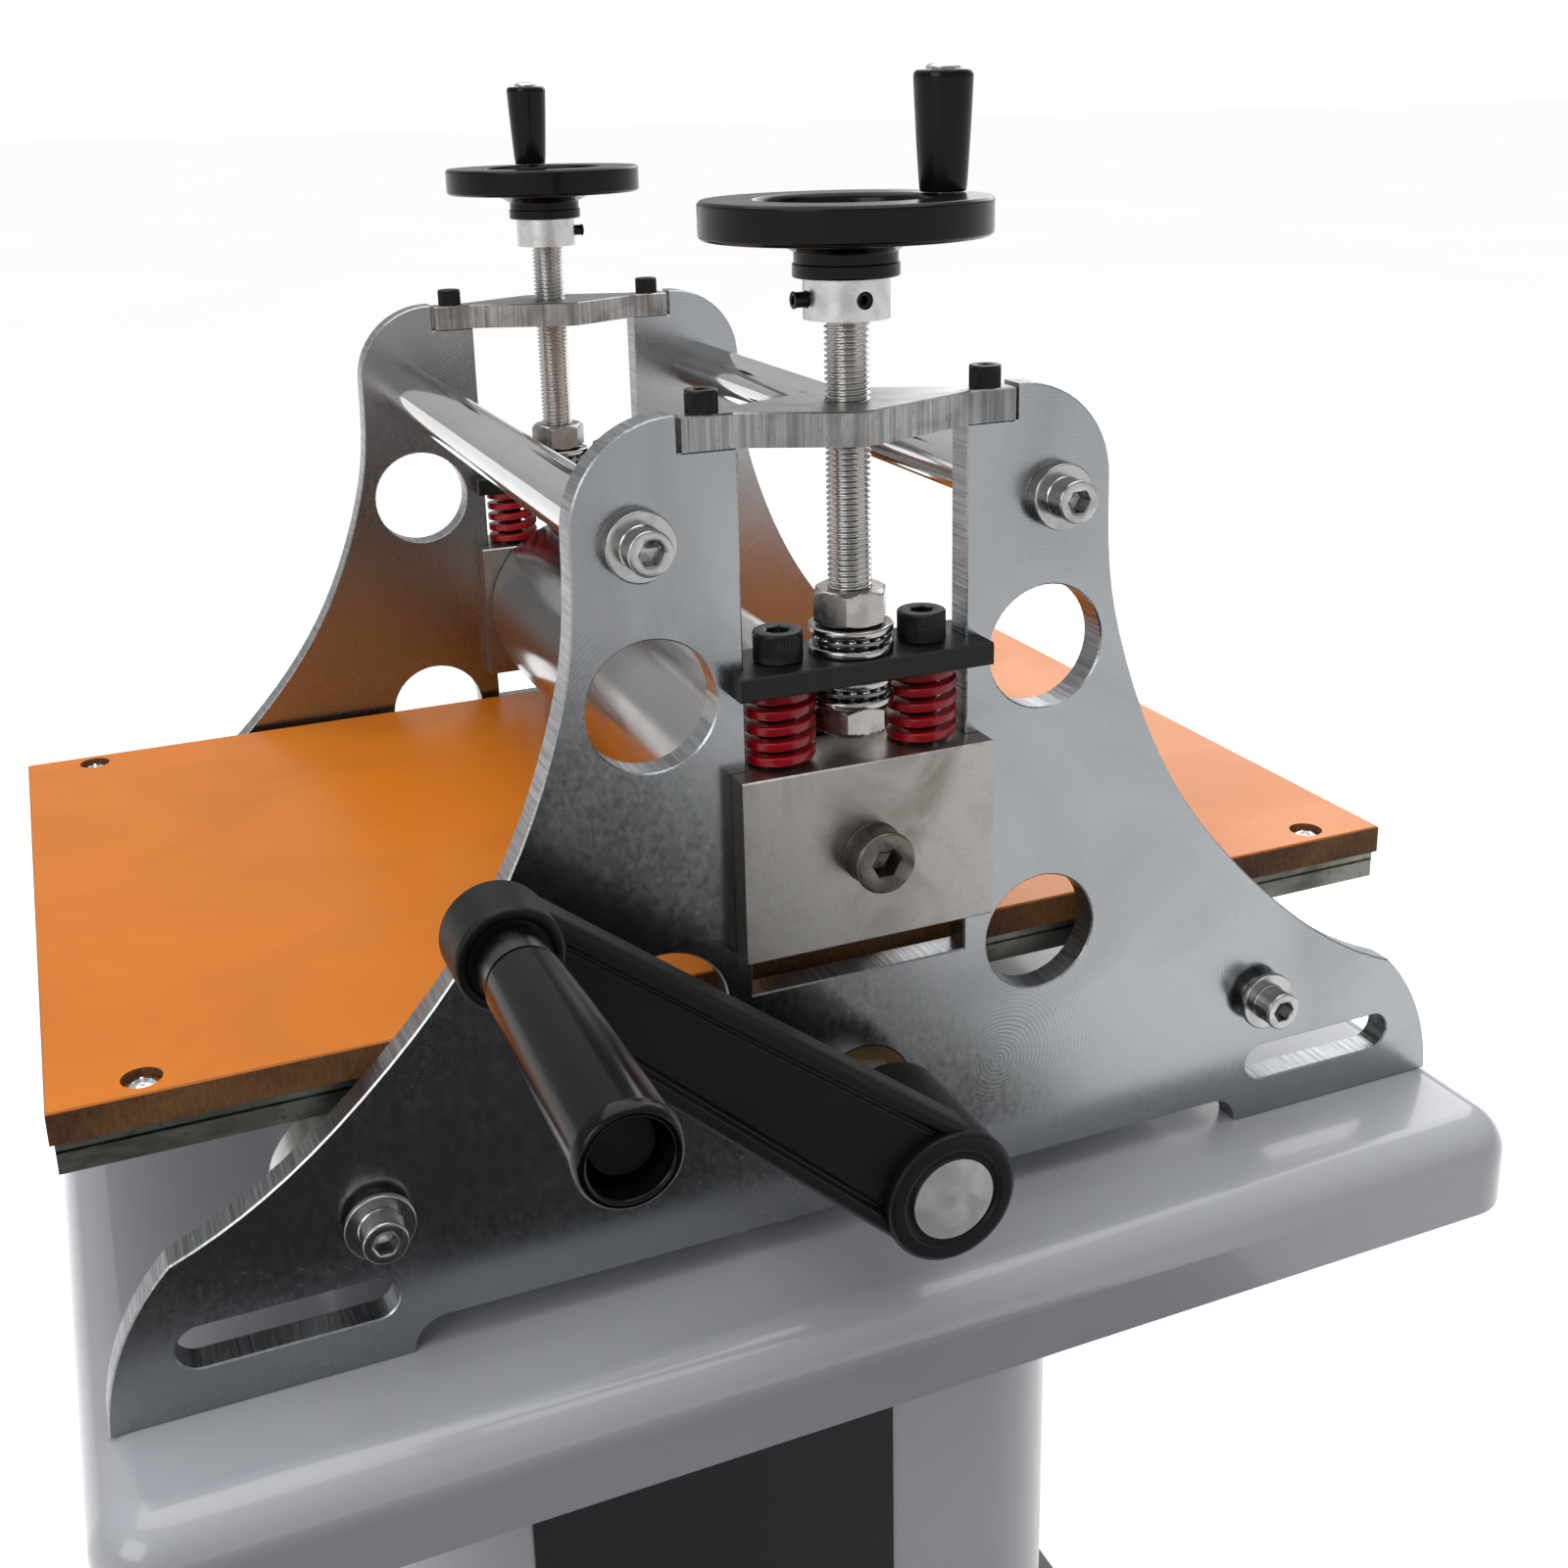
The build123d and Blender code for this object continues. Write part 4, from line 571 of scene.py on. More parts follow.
class Finish:
    """Base of the finishes: a material made once and given to each piece that asks."""

    name: str

    def material(self) -> bpy.types.Material:
        """Finds this finish's material, or builds it the first time.

        Returns:
            The material.
        """
        known = bpy.data.materials.get(f"finish_{self.name}")
        if known:
            return known
        made = bpy.data.materials.new(f"finish_{self.name}")
        made.use_nodes = True
        made.node_tree.nodes.clear()
        wires = Wires(made.node_tree)
        shader = wires.add("ShaderNodeBsdfPrincipled")
        wires.add("ShaderNodeOutputMaterial", {"Surface": shader.outputs[0]})
        self.wire(wires, shader)
        return made

    def wire(self, wires: Wires, shader: bpy.types.Node) -> None:
        """Joins this finish's nodes to the shader."""
        raise NotImplementedError

    def surface(
        self, wires: Wires, shader: bpy.types.Node, colour: bpy.types.NodeSocket,
        rough: bpy.types.NodeSocket, height: bpy.types.NodeSocket,
    ) -> None:
        """Joins what changes over the surface to the shader.

        Args:
            wires: the material's nodes.
            shader: its Principled BSDF.
            colour: for Base Color.
            rough: for Roughness.
            height: in metres, raised by a Bump node.
        """
        bump = wires.add("ShaderNodeBump", {"Height": height, "Distance": 1.0, "Strength": 1.0})
        wires.plug(
            shader, {"Base Color": colour, "Roughness": rough, "Normal": bump.outputs[0]}
        )


@dataclass(frozen=True)
class BareMetal(Finish):
    """Ground, turned or drawn metal with grain, blotches and scratches.

    Attributes:
        name: the material's name.
        colour, dark: clean metal, and the metal where it is stained.
        roughness, spread: middle of the roughness and how far the grain moves it.
        grain: how the grain is stretched along X, Y and Z.
        grain_scale, grain_depth: fineness of the grain and its height in metres.
        stain, stain_scale: strength and fineness of the stains.
        scratch: strength of the scratches.
        cut_axis: the faces across this axis are cut edges; none if it is all 0.
        cut_grain: how the marks on the cut edges are stretched.
        pits: strength of the small pits.
        anisotropic: of the shader.
        swirl: height in metres of the arcs that a grinding disc leaves.
        seam: height of a dark rolled seam, 0 for none.
    """

    name: str
    colour: Colour
    dark: Colour
    roughness: float
    spread: float = 0.12
    grain: tuple[float, float, float] = (1.0, 1.0, 1.0)
    grain_scale: float = 900.0
    grain_depth: float = 0.00003
    stain: float = 0.4
    stain_scale: float = 22.0
    scratch: float = 0.3
    cut_axis: tuple[float, float, float] = (0.0, 0.0, 0.0)
    cut_grain: tuple[float, float, float] = (1.0, 0.05, 1.0)
    pits: float = 0.0
    anisotropic: float = 0.0
    swirl: float = 0.0
    seam: float = 0.0

    def wire(self, wires: Wires, shader: bpy.types.Node) -> None:
        """Grain, stains and scratches set colour, roughness and height; cut faces swap the grain.

        Args:
            wires: the material's nodes.
            shader: its Principled BSDF.
        """
        grain = wires.effect(
            Effect.GRAIN, Stretch=self.grain, Scale=self.grain_scale, Softness=0.22
        )
        blotch = wires.effect(Effect.BLOTCH, Scale=self.stain_scale, Threshold=0.46, Softness=0.22)
        speck = wires.effect(
            Effect.BLOTCH, Scale=self.stain_scale * 14, Threshold=0.63, Softness=0.05
        )
        lines = wires.effect(Effect.SCRATCH, Stretch=(0.35, 1.0, 1.0), Scale=60.0, Width=0.012)
        stained = wires.math("MULTIPLY", blotch, self.stain)
        colour = wires.blend(stained, self.colour, self.dark)
        colour = wires.blend(wires.math("MULTIPLY", speck, self.pits), colour, self.dark)
        shade = wires.math("ADD", 0.91, wires.math("MULTIPLY", grain, 0.09))
        rough = wires.math(
            "ADD", self.roughness - self.spread / 2, wires.math("MULTIPLY", grain, self.spread)
        )
        rough = wires.math("ADD", rough, wires.math("MULTIPLY", stained, 0.18))
        height = wires.math("MULTIPLY", grain, self.grain_depth)
        height = wires.math(
            "SUBTRACT", height, wires.math("MULTIPLY", lines, self.scratch * 0.00001)
        )
        height = wires.math("SUBTRACT", height, wires.math("MULTIPLY", speck, self.pits * 0.000015))
        if self.swirl:
            height = wires.math("ADD", height, wires.math("MULTIPLY", self.arcs(wires), self.swirl))
        if self.seam:
            colour = wires.blend(self.seam_line(wires), colour, (0.022, 0.012, 0.006, 1.0))
        if any(self.cut_axis):
            facing = wires.effect(Effect.FACING, Axis=self.cut_axis)
            marks = wires.effect(Effect.GRAIN, Stretch=self.cut_grain, Scale=520.0, Softness=0.16)
            edge = wires.math("SUBTRACT", 1.0, facing)
            bright = wires.math("ADD", 0.62, wires.math("MULTIPLY", marks, 0.6))
            shade = wires.add("ShaderNodeMix", {0: facing, 2: bright, 3: shade}).outputs[0]
            rough = wires.math("ADD", rough, wires.math("MULTIPLY", edge, 0.1))
            cut = wires.math("MULTIPLY", wires.math("MULTIPLY", marks, edge), 0.00012)
            height = wires.math("ADD", height, cut)
        tinted = wires.add("ShaderNodeVectorMath", {0: colour, "Scale": shade}, operation="SCALE")
        self.surface(wires, shader, tinted.outputs[0], rough, height)
        shader.inputs["Metallic"].default_value = 1.0
        shader.inputs["Anisotropic"].default_value = self.anisotropic

    def arcs(self, wires: Wires) -> bpy.types.NodeSocket:
        """Grinding arcs: the sine of the distance to a far centre, bent by noise, in patches.

        Args:
            wires: the material's nodes.

        Returns:
            Their height, from -1 to 1.
        """
        place = wires.place()
        offset = wires.add(
            "ShaderNodeVectorMath", {0: place, 1: (0.06, 0.0, 0.5)}, operation="SUBTRACT"
        )
        flat = wires.add(
            "ShaderNodeVectorMath", {0: offset.outputs[0], 1: (1.0, 0.0, 1.0)}, operation="MULTIPLY"
        )
        reach = wires.add(
            "ShaderNodeVectorMath", {0: flat.outputs[0]}, operation="LENGTH"
        ).outputs["Value"]
        bend = wires.add(
            "ShaderNodeTexNoise", {"Vector": place, "Scale": 24.0, "Detail": 3.0}
        ).outputs[0]
        run = wires.math(
            "ADD", wires.math("MULTIPLY", reach, 3400.0), wires.math("MULTIPLY", bend, 26.0)
        )
        patch = wires.effect(Effect.BLOTCH, Scale=16.0, Threshold=0.42, Softness=0.2)
        return wires.math("MULTIPLY", wires.math("SINE", run), patch)

    def seam_line(self, wires: Wires) -> bpy.types.NodeSocket:
        """1 within half a millimetre of the seam's height, with a ragged edge.

        Args:
            wires: the material's nodes.

        Returns:
            The mask of the seam.
        """
        place = wires.place()
        level = wires.add("ShaderNodeSeparateXYZ", {0: place}).outputs[2]
        rag = wires.add(
            "ShaderNodeTexNoise", {"Vector": place, "Scale": 120.0, "Detail": 3.0}
        ).outputs[0]
        away = wires.math("ABSOLUTE", wires.math("SUBTRACT", level, self.seam))
        away = wires.math("ADD", away, wires.math("MULTIPLY", rag, 0.0009))
        return wires.math("SUBTRACT", 1.0, wires.stretch(away, 0.0007, 0.0013))


@dataclass(frozen=True)
class Coating(Finish):
    """Paint, enamel, moulded plastic or black oxide over a part.

    Attributes:
        name: the material's name.
        colour, worn: the coating, and its colour where it is rubbed or dusty.
        roughness: of the coating itself.
        coat, coat_roughness: the clear layer over it.
        texture, texture_depth: fineness and height of its texture in metres.
        smudge: how far smudges raise the roughness.
        wear: strength of the worn patches.
        specular: of the shader.
    """

    name: str
    colour: Colour
    worn: Colour
    roughness: float
    coat: float = 0.0
    coat_roughness: float = 0.05
    texture: float = 260.0
    texture_depth: float = 0.00001
    smudge: float = 0.1
    wear: float = 0.15
    specular: float = 0.5

    def wire(self, wires: Wires, shader: bpy.types.Node) -> None:
        """Texture raises the surface, smudges change its roughness and rubbed patches its colour.

        Args:
            wires: the material's nodes.
            shader: its Principled BSDF.
        """
        skin = wires.effect(
            Effect.GRAIN, Stretch=(1.0, 1.0, 1.0), Scale=self.texture, Softness=0.25
        )
        smear = wires.effect(Effect.BLOTCH, Scale=11.0, Threshold=0.42, Softness=0.3)
        rubbed = wires.effect(Effect.BLOTCH, Scale=130.0, Threshold=0.6, Softness=0.12)
        nicks = wires.effect(Effect.SCRATCH, Stretch=(0.4, 1.0, 1.0), Scale=48.0, Width=0.008)
        worn = wires.math("MULTIPLY", wires.math("MAXIMUM", rubbed, nicks), self.wear)
        rough = wires.math("ADD", self.roughness, wires.math("MULTIPLY", smear, self.smudge))
        rough = wires.math("ADD", rough, wires.math("MULTIPLY", worn, 0.3))
        height = wires.math("MULTIPLY", skin, self.texture_depth)
        height = wires.math("SUBTRACT", height, wires.math("MULTIPLY", nicks, self.wear * 0.00003))
        colour = wires.blend(worn, self.colour, self.worn)
        self.surface(wires, shader, colour, rough, height)
        shader.inputs["Coat Weight"].default_value = self.coat
        shader.inputs["Coat Roughness"].default_value = self.coat_roughness
        shader.inputs["Specular IOR Level"].default_value = self.specular


@dataclass(frozen=True)
class LaminateBoard(Finish):
    """Orange laminate with a smooth face and sawn, streaked brown edges.

    Attributes:
        name: the material's name.
        face, face_dull: the face's colour and its slightly duller patches.
        edge_dark, edge_light: the two browns of the sawn edges.
    """

    name: str = "orange_board"
    face: Colour = (0.62, 0.170, 0.001, 1.0)
    face_dull: Colour = (0.55, 0.150, 0.002, 1.0)
    edge_dark: Colour = (0.055, 0.018, 0.008, 1.0)
    edge_light: Colour = (0.21, 0.095, 0.032, 1.0)

    def wire(self, wires: Wires, shader: bpy.types.Node) -> None:
        """The face is mottled and half glossy; the edges mix two browns in slanted saw marks.

        Args:
            wires: the material's nodes.
            shader: its Principled BSDF.
        """
        facing = wires.effect(Effect.FACING, Axis=(0.0, 0.0, 1.0))
        mottle = wires.effect(Effect.BLOTCH, Scale=14.0, Threshold=0.4, Softness=0.3)
        specks = wires.effect(Effect.GRAIN, Stretch=(1.0, 1.0, 1.0), Scale=1500.0, Softness=0.2)
        face = wires.blend(mottle, self.face, self.face_dull)
        saw = wires.effect(Effect.GRAIN, Stretch=(1.0, 1.0, 0.35), Scale=700.0, Softness=0.18)
        bands = wires.effect(Effect.BLOTCH, Scale=17.0, Threshold=0.42, Softness=0.2)
        share = wires.math(
            "MULTIPLY", wires.math("ADD", saw, wires.math("MULTIPLY", bands, 1.2)), 0.5
        )
        edge = wires.blend(share, self.edge_dark, self.edge_light)
        colour = wires.blend(facing, edge, face)
        rough = wires.math("SUBTRACT", 0.62, wires.math("MULTIPLY", facing, 0.34))
        rough = wires.math("ADD", rough, wires.math("MULTIPLY", mottle, 0.07))
        across = wires.math("SUBTRACT", 1.0, facing)
        height = wires.math("MULTIPLY", wires.math("MULTIPLY", saw, across), 0.00012)
        height = wires.math("ADD", height, wires.math("MULTIPLY", specks, 0.000004))
        self.surface(wires, shader, colour, rough, height)
        shader.inputs["Specular IOR Level"].default_value = 0.35


@dataclass(frozen=True)
class PaleFloor(Finish):
    """A nearly white floor with a little glow of its own, so that it meets the white beyond it.

    Attributes:
        name: the material's name.
        glow: strength of its own light.
    """

    name: str = "pale_floor"
    glow: float = 0.5

    def wire(self, wires: Wires, shader: bpy.types.Node) -> None:
        """White paper with very faint clouds in it.

        Args:
            wires: the material's nodes.
            shader: its Principled BSDF.
        """
        clouds = wires.effect(Effect.BLOTCH, Scale=0.6, Threshold=0.4, Softness=0.4)
        tone = wires.blend(clouds, grey(0.86), grey(0.83))
        wires.tree.links.new(tone, shader.inputs["Base Color"])
        shader.inputs["Roughness"].default_value = 0.9
        shader.inputs["Emission Color"].default_value = grey(1.0)
        shader.inputs["Emission Strength"].default_value = self.glow


PLATE = BareMetal(
    "side_plate", grey(0.37, -0.035), grey(0.24, -0.03), 0.21, 0.08, (
        1.0, 1.0, 0.7
    ), 480.0, 0.000004,
    0.5, 8.0, 0.5, (0.0, 1.0, 0.0), (1.0, 0.04, 1.0), 0.04, swirl=0.000006,
)
BRIDGE = BareMetal(
    "bridge_plate", grey(0.38, 0.02), grey(0.16), 0.32, 0.14, (1.0, 1.0, 1.0), 620.0, 0.00003,
    0.5, 40.0, 0.4, (0.0, 0.0, 1.0), (1.0, 1.0, 0.04), 0.5,
)
CHROME = BareMetal(
    "chrome_rod", grey(0.80), grey(0.5, 0.03), 0.07, 0.05, (1.0, 0.05, 1.0), 700.0, 0.000003, 0.2,
    18.0, 0.2
)
ZINC = BareMetal(
    "zinc", grey(0.46, 0.015), grey(0.20, 0.05), 0.22, 0.08, (1.0, 1.0, 1.0), 500.0, 0.000004, 0.4,
    90.0, 0.2, pits=0.1
)
BEARING = BareMetal(
    "bearing_steel", grey(0.42, 0.02), grey(0.2, 0.04), 0.16, 0.06, (1.0, 1.0, 1.0), 800.0,
    0.000002, 0.2, 60.0, 0.1
)
CAGE = BareMetal(
    "cage_steel", grey(0.20), grey(0.06, 0.04), 0.24, 0.08, (1.0, 1.0, 1.0), 800.0, 0.000004, 0.3,
    60.0, 0.2
)
ROLLER = BareMetal(
    "roller_steel", grey(0.52, 0.02), grey(0.30, 0.04), 0.17, 0.08, (0.6, 0.05, 0.6), 700.0,
    0.000004, 0.4, 12.0, 0.3
)
SHAFT = BareMetal(
    "shaft_steel", grey(0.78, 0.01), grey(0.55, 0.02), 0.34, 0.08, (1.0, 1.0, 1.0), 160.0, 0.000004,
    0.5, 90.0, 0.1
)
BRONZE = BareMetal("bush_bronze", (0.16, 0.10, 0.045, 1.0), (0.06, 0.04, 0.02, 1.0), 0.36)
BLOCK = BareMetal(
    "ground_block", grey(0.40, 0.04), (
        0.17, 0.135, 0.09, 1.0
    ), 0.33, 0.12, (1.0, 1.0, 0.5), 640.0, 0.000008,
    0.55, 24.0, 0.5, pits=0.15, swirl=0.000022,
)
OLD_BOLT = BareMetal(
    "old_bolt", grey(0.16, 0.12), grey(0.05, 0.16), 0.36, 0.18, (1.0, 1.0, 1.0), 420.0, 0.00002,
    0.8, 90.0, 0.4, pits=0.6
)
THREAD = BareMetal(
    "screw_steel", grey(0.60, 0.02), grey(0.34, 0.04), 0.22, 0.06, (1.0, 1.0, 1.0), 700.0, 0.000001,
    0.25, 40.0, 0.0
)
NUT = BareMetal(
    "nut_steel", grey(0.40, 0.045), grey(0.16, 0.08), 0.24, 0.12, (1.0, 1.0, 1.0), 300.0, 0.000005,
    0.4, 80.0, 0.3, pits=0.3
)
ALLOY = BareMetal(
    "collar_alloy", grey(0.66, 0.01), grey(0.32, 0.02), 0.28, 0.12, (0.15, 0.15, 1.0), 900.0,
    0.00001, 0.35, 120.0, 0.4, pits=0.4
)
FERRULE = BareMetal(
    "ferrule", grey(0.12, 0.02), grey(0.06, 0.03), 0.22, 0.05, (1.0, 1.0, 1.0), 700.0, 0.000001,
    0.4, 60.0, 0.1
)
BED_STEEL = BareMetal(
    "bed_steel", (0.22, 0.23, 0.20, 1.0), (
        0.06, 0.058, 0.045, 1.0
    ), 0.42, 0.2, (1.0, 1.0, 6.0), 70.0, 0.00002,
    0.7, 30.0, 0.4, pits=0.5, seam=0.5402,
)
SCREW_BRIGHT = BareMetal(
    "bright_screw", grey(0.76), grey(0.4), 0.18, 0.08, (1.0, 1.0, 1.0), 900.0, 0.000004, 0.2, 80.0,
    0.1
)

PAINT = Coating(
    "pale_paint", (0.40, 0.412, 0.45, 1.0), grey(0.30), 0.28, 0.6, 0.10, 90.0, 0.000004, 0.06, 0.05
)
DARK_PAINT = Coating("dark_paint", grey(0.10), grey(0.2), 0.42, 0.2, 0.2, 300.0, 0.00002, 0.12, 0.2)
PANEL = Coating(
    "gloss_panel", grey(0.003), grey(0.008), 0.10, 0.0, 0.05, 60.0, 0.000002, 0.06, 0.1, 0.15
)
# Near-black oxide of the pressure bars and screws; on the crank grip's pin the same near-black is
# painted shade for the dark inside of the hollow grip.
OXIDE_AND_PIN_SHADE = Coating(
    "black_oxide", grey(0.007), grey(0.07), 0.36, 0.0, 0.2, 700.0, 0.000004, 0.14, 0.22, 0.28
)
RED = Coating(
    "red_enamel", (0.33, 0.0015, 0.007, 1.0), (0.14, 0.003, 0.006, 1.0), 0.30, 0.25, 0.1, 300.0,
    0.000004, 0.08, 0.3, 0.3
)
PLASTIC = Coating(
    "black_plastic", grey(0.003), grey(0.010), 0.16, 0.0, 0.06, 120.0, 0.000001, 0.08, 0.08, 0.2
)
SATIN = Coating(
    "satin_black", grey(0.005), grey(0.018), 0.42, 0.0, 0.2, 1100.0, 0.00001, 0.1, 0.2, 0.22
)
BOARD = LaminateBoard()

NODE_FINISH: dict[str, Finish] = {
    "side_plate_front": PLATE, "side_plate_rear": PLATE,
    "bridge_plate_front": BRIDGE, "bridge_plate_rear": BRIDGE,
    "bearing_block_front": BLOCK, "bearing_block_rear": BLOCK,
    "pressure_bar_front": OXIDE_AND_PIN_SHADE, "pressure_bar_rear": OXIDE_AND_PIN_SHADE,
    "upper_rod_left": CHROME, "upper_rod_right": CHROME,
    "lower_rod_left": CHROME, "lower_rod_right": CHROME,
    "upper_roller": ROLLER, "drive_roller": SHAFT, "roller_axle": ROLLER, "crank_key": ROLLER,
    "idler_races": BEARING, "idler_rings_left": BEARING, "idler_rings_right": BEARING,
    "drive_bushes": BRONZE, "roller_bushes": BRONZE,
    "collar_front": ALLOY, "collar_rear": ALLOY,
    "bed_board": BOARD, "bed_plate": BED_STEEL,
    "tray": PAINT, "column_shell": PAINT, "column_panel": PANEL,
    "foot_plate": DARK_PAINT, "column_head": DARK_PAINT, "tray_rails": DARK_PAINT,
    # The crank grip's pin is steel; its near-black finish here is painted shade for the inside of
    # the hollow grip.
    "stand_bolts": ZINC, "crank_grip_pin": OXIDE_AND_PIN_SHADE, "crank_ferrule": FERRULE,
}


def dress(node: str, finish: Finish) -> None:
    """Gives a CAD node a finish in every one of its material slots.

    Args:
        node: the node's name.
        finish: its finish.
    """
    mesh = frame["nodes"][node].data
    for k in range(max(1, len(mesh.materials))):
        if k < len(mesh.materials):
            mesh.materials[k] = finish.material()
        else:
            mesh.materials.append(finish.material())


def add_piece(
    name: str, skin: Skin, finish: Finish, body: str,
    stands_for: tuple[str, ...] = (), crease: float = 38.0
) -> bpy.types.Object:
    """Makes an object of a surface and ties it to the frame.

    Args:
        name: the piece's name.
        skin: its surface in the row frame.
        finish: its finish.
        body: the CAD body it rides on.
        stands_for: CAD nodes it replaces.
        crease: edges that turn by more degrees than this are sharp.

    Returns:
        The new object.
    """
    mesh = bpy.data.meshes.new(name)
    mesh.from_pydata(skin.points.tolist(), [], skin.quads.tolist() + skin.tris.tolist())
    mesh.shade_smooth()
    mesh.set_sharp_from_angle(angle=math.radians(crease))
    mesh.validate()
    mesh.materials.append(finish.material())
    piece = bpy.data.objects.new(name, mesh)
    bpy.context.scene.collection.objects.link(piece)
    even = piece.modifiers.new("even_normals", "WEIGHTED_NORMAL")
    even.keep_sharp = True
    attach(piece, body)
    if stands_for:
        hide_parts(*stands_for)
    log.info("%s rides on %s and has %d faces", name, body, len(mesh.polygons))
    return piece


def span(node: str) -> tuple[np.ndarray, np.ndarray]:
    """Lowest and highest corner of a CAD node as arrays."""
    low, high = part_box(node)
    return np.array(low), np.array(high)


def quarter(node: str, x_sign: float, y_sign: float) -> tuple[np.ndarray, np.ndarray]:
    """Finds the share of a CAD node that lies on one side in X and on one side in Y.

    Args:
        node: the node's name.
        x_sign: the side in X, -1 or 1.
        y_sign: the side in Y, -1 or 1.

    Returns:
        Its lowest and highest corner.
    """
    mesh = frame["nodes"][node].data
    points = np.zeros(len(mesh.vertices) * 3, np.float32)
    mesh.vertices.foreach_get("co", points)
    points = points.reshape(-1, 3).astype(float)
    kept = points[(points[:, 0] * x_sign > 0) & (points[:, 1] * y_sign > 0)]
    return kept.min(0), kept.max(0)


def quarters(node: str) -> list[tuple[int, np.ndarray, np.ndarray]]:
    """All four shares of a CAD node.

    Args:
        node: the node's name.

    Returns:
        Each share's side in Y, with its lowest and highest corner.
    """
    signs = [(x_sign, y_sign) for x_sign in (-1, 1) for y_sign in (-1, 1)]
    return [(y_sign, *quarter(node, x_sign, y_sign)) for x_sign, y_sign in signs]


# ---------------------------------------------------------------- sub-assemblies
@dataclass
class PressureScrew:
    """A threaded pressure screw with its two nuts, collar screws, handwheel and grip."""

    side: Side
    radius: float = 8 * MM
    thread_depth: float = 1.15 * MM
    pitch: float = 2 * MM
    nut_flat: float = 12.5 * MM
    upper_nut: float = 13 * MM
    lower_nut: float = 12 * MM
    set_screw_radius: float = 3 * MM
    wheel_radius: float = 50 * MM
    rim_width: float = 20 * MM
    rim_height: float = 13 * MM
    hub_radius: float = 18.5 * MM
    hub_height: float = 9 * MM
    dish: float = 8 * MM
    pin_radius: float = 4 * MM

    @property
    def body(self) -> str:
        """The CAD body of this screw."""
        return f"{self.side.word}_screw"

    def node(self, stem: str) -> str:
        """The CAD node of that name on this side."""
        return f"{stem}_{self.side.word}"

    def centre(self) -> tuple[float, float]:
        """The screw's axis in X and Y."""
        low, high = span(self.node("pressure_screw"))
        return (low[0] + high[0]) / 2, (low[1] + high[1]) / 2

    def build(self) -> None:
        """Makes every piece that turns with this screw."""
        self.build_rod_and_nuts()
        self.build_set_screws()
        self.build_wheel()
        self.build_grip()

    def build_rod_and_nuts(self) -> None:
        """The threaded rod and the two nuts that the bar is held between."""
        x, y = self.centre()
        low, high = span(self.node("pressure_screw"))
        rod = rod_thread(self.radius, self.thread_depth, self.pitch, high[2] - low[2])
        add_piece(
            f"threaded_rod_{self.side.word}", rod.placed(
                (x, y, low[2])
            ), THREAD, self.body,
            (self.node("pressure_screw"),), crease=50.0,
        )
        low, high = span(self.node("screw_nuts"))
        bore = self.radius - self.thread_depth * 0.4
        nuts = joined([
            hex_nut(self.nut_flat, bore, self.upper_nut).placed((x, y, high[2] - self.upper_nut)),
            hex_nut(self.nut_flat, bore, self.lower_nut, 0.74).placed((x, y, low[2])),
        ])
        add_piece(
            f"hex_nuts_{self.side.word}", nuts, NUT, self.body,
            (self.node("screw_nuts"),), 30.0
        )

    def build_set_screws(self) -> None:
        """Two grub screws with hex sockets: one stands out of the collar, one is sunk in it."""
        x, y = self.centre()
        low, high = span(self.node("set_screws"))
        z = (low[2] + high[2]) / 2
        sign = self.side.sign
        ends = {
            (sign, 0.0, 0.0): high[0] - x if sign > 0 else x - low[0],
            (0.0, sign, 0.0): high[1] - y if sign > 0 else y - low[1],
        }
        skins = []
        for axis, reach in ends.items():
            grub = SocketScrew(
                self.set_screw_radius, reach - self.radius, self.set_screw_radius * 0.7, 0.2 * MM,
                self.set_screw_radius * 0.5, 0,
            )
            start = np.array([x, y, z]) + np.array(axis) * self.radius
            skins.append(grub.skin().placed(start, axis))
        add_piece(
            f"grub_screws_{self.side.word}", joined(skins), OXIDE_AND_PIN_SHADE, self.body,
            (self.node("set_screws"),),
        )

    def build_wheel(self) -> None:
        """The moulded handwheel: hub with a groove, flared web, deep rim and dished middle."""
        x, y = self.centre()
        low, high = span(self.node("handwheel"))
        base, total = low[2], high[2] - low[2]
        r, inner = self.wheel_radius, self.wheel_radius - self.rim_width
        screw_top = span(self.node("pressure_screw"))[1][2] - base + 0.3 * MM
        rim_low, hub = total - self.rim_height, self.hub_height
        corners = [
            (0.5 * MM, screw_top, 0),
            (self.radius + 0.03 * MM, screw_top, 0),
            (self.radius + 0.03 * MM, 0, 0.3 * MM),
            (self.hub_radius, 0, 0.8 * MM),
            (self.hub_radius, hub * 0.5, 0.1 * MM),
            (self.hub_radius - 0.6 * MM, hub * 0.54, 0.1 * MM),
            (self.hub_radius - 0.6 * MM, hub * 0.95, 0.4 * MM),
            (self.hub_radius + 7.5 * MM, rim_low - 0.3 * MM, 6 * MM),
            (r - 1.2 * MM, rim_low, 0.5 * MM),
            (r, rim_low + 1.2 * MM, 0.5 * MM),
            (r, total - 1.1 * MM, 0.4 * MM),
            (r - 1.1 * MM, total, 0.4 * MM),
            (inner + 1.5 * MM, total, 0.8 * MM),
            (inner, total - 1.6 * MM, 1.2 * MM),
            (inner - 0.8 * MM, total - self.dish, 2.4 * MM),
            (self.hub_radius * 0.8, total - self.dish, 0.6 * MM),
            (self.hub_radius * 0.8 - 1 * MM, total - self.dish + 1.2 * MM, 0.6 * MM),
            (3 * MM, total - self.dish + 1.2 * MM, 0.5 * MM),
            (1 * MM, total - self.dish + 1.1 * MM, 0),
        ]
        wheel = turned(eased(corners, 6), 128).placed((x, y, base))
        add_piece(
            f"wheel_{self.side.word}", wheel, PLASTIC, self.body,
            (self.node("handwheel"),), 40.0
        )

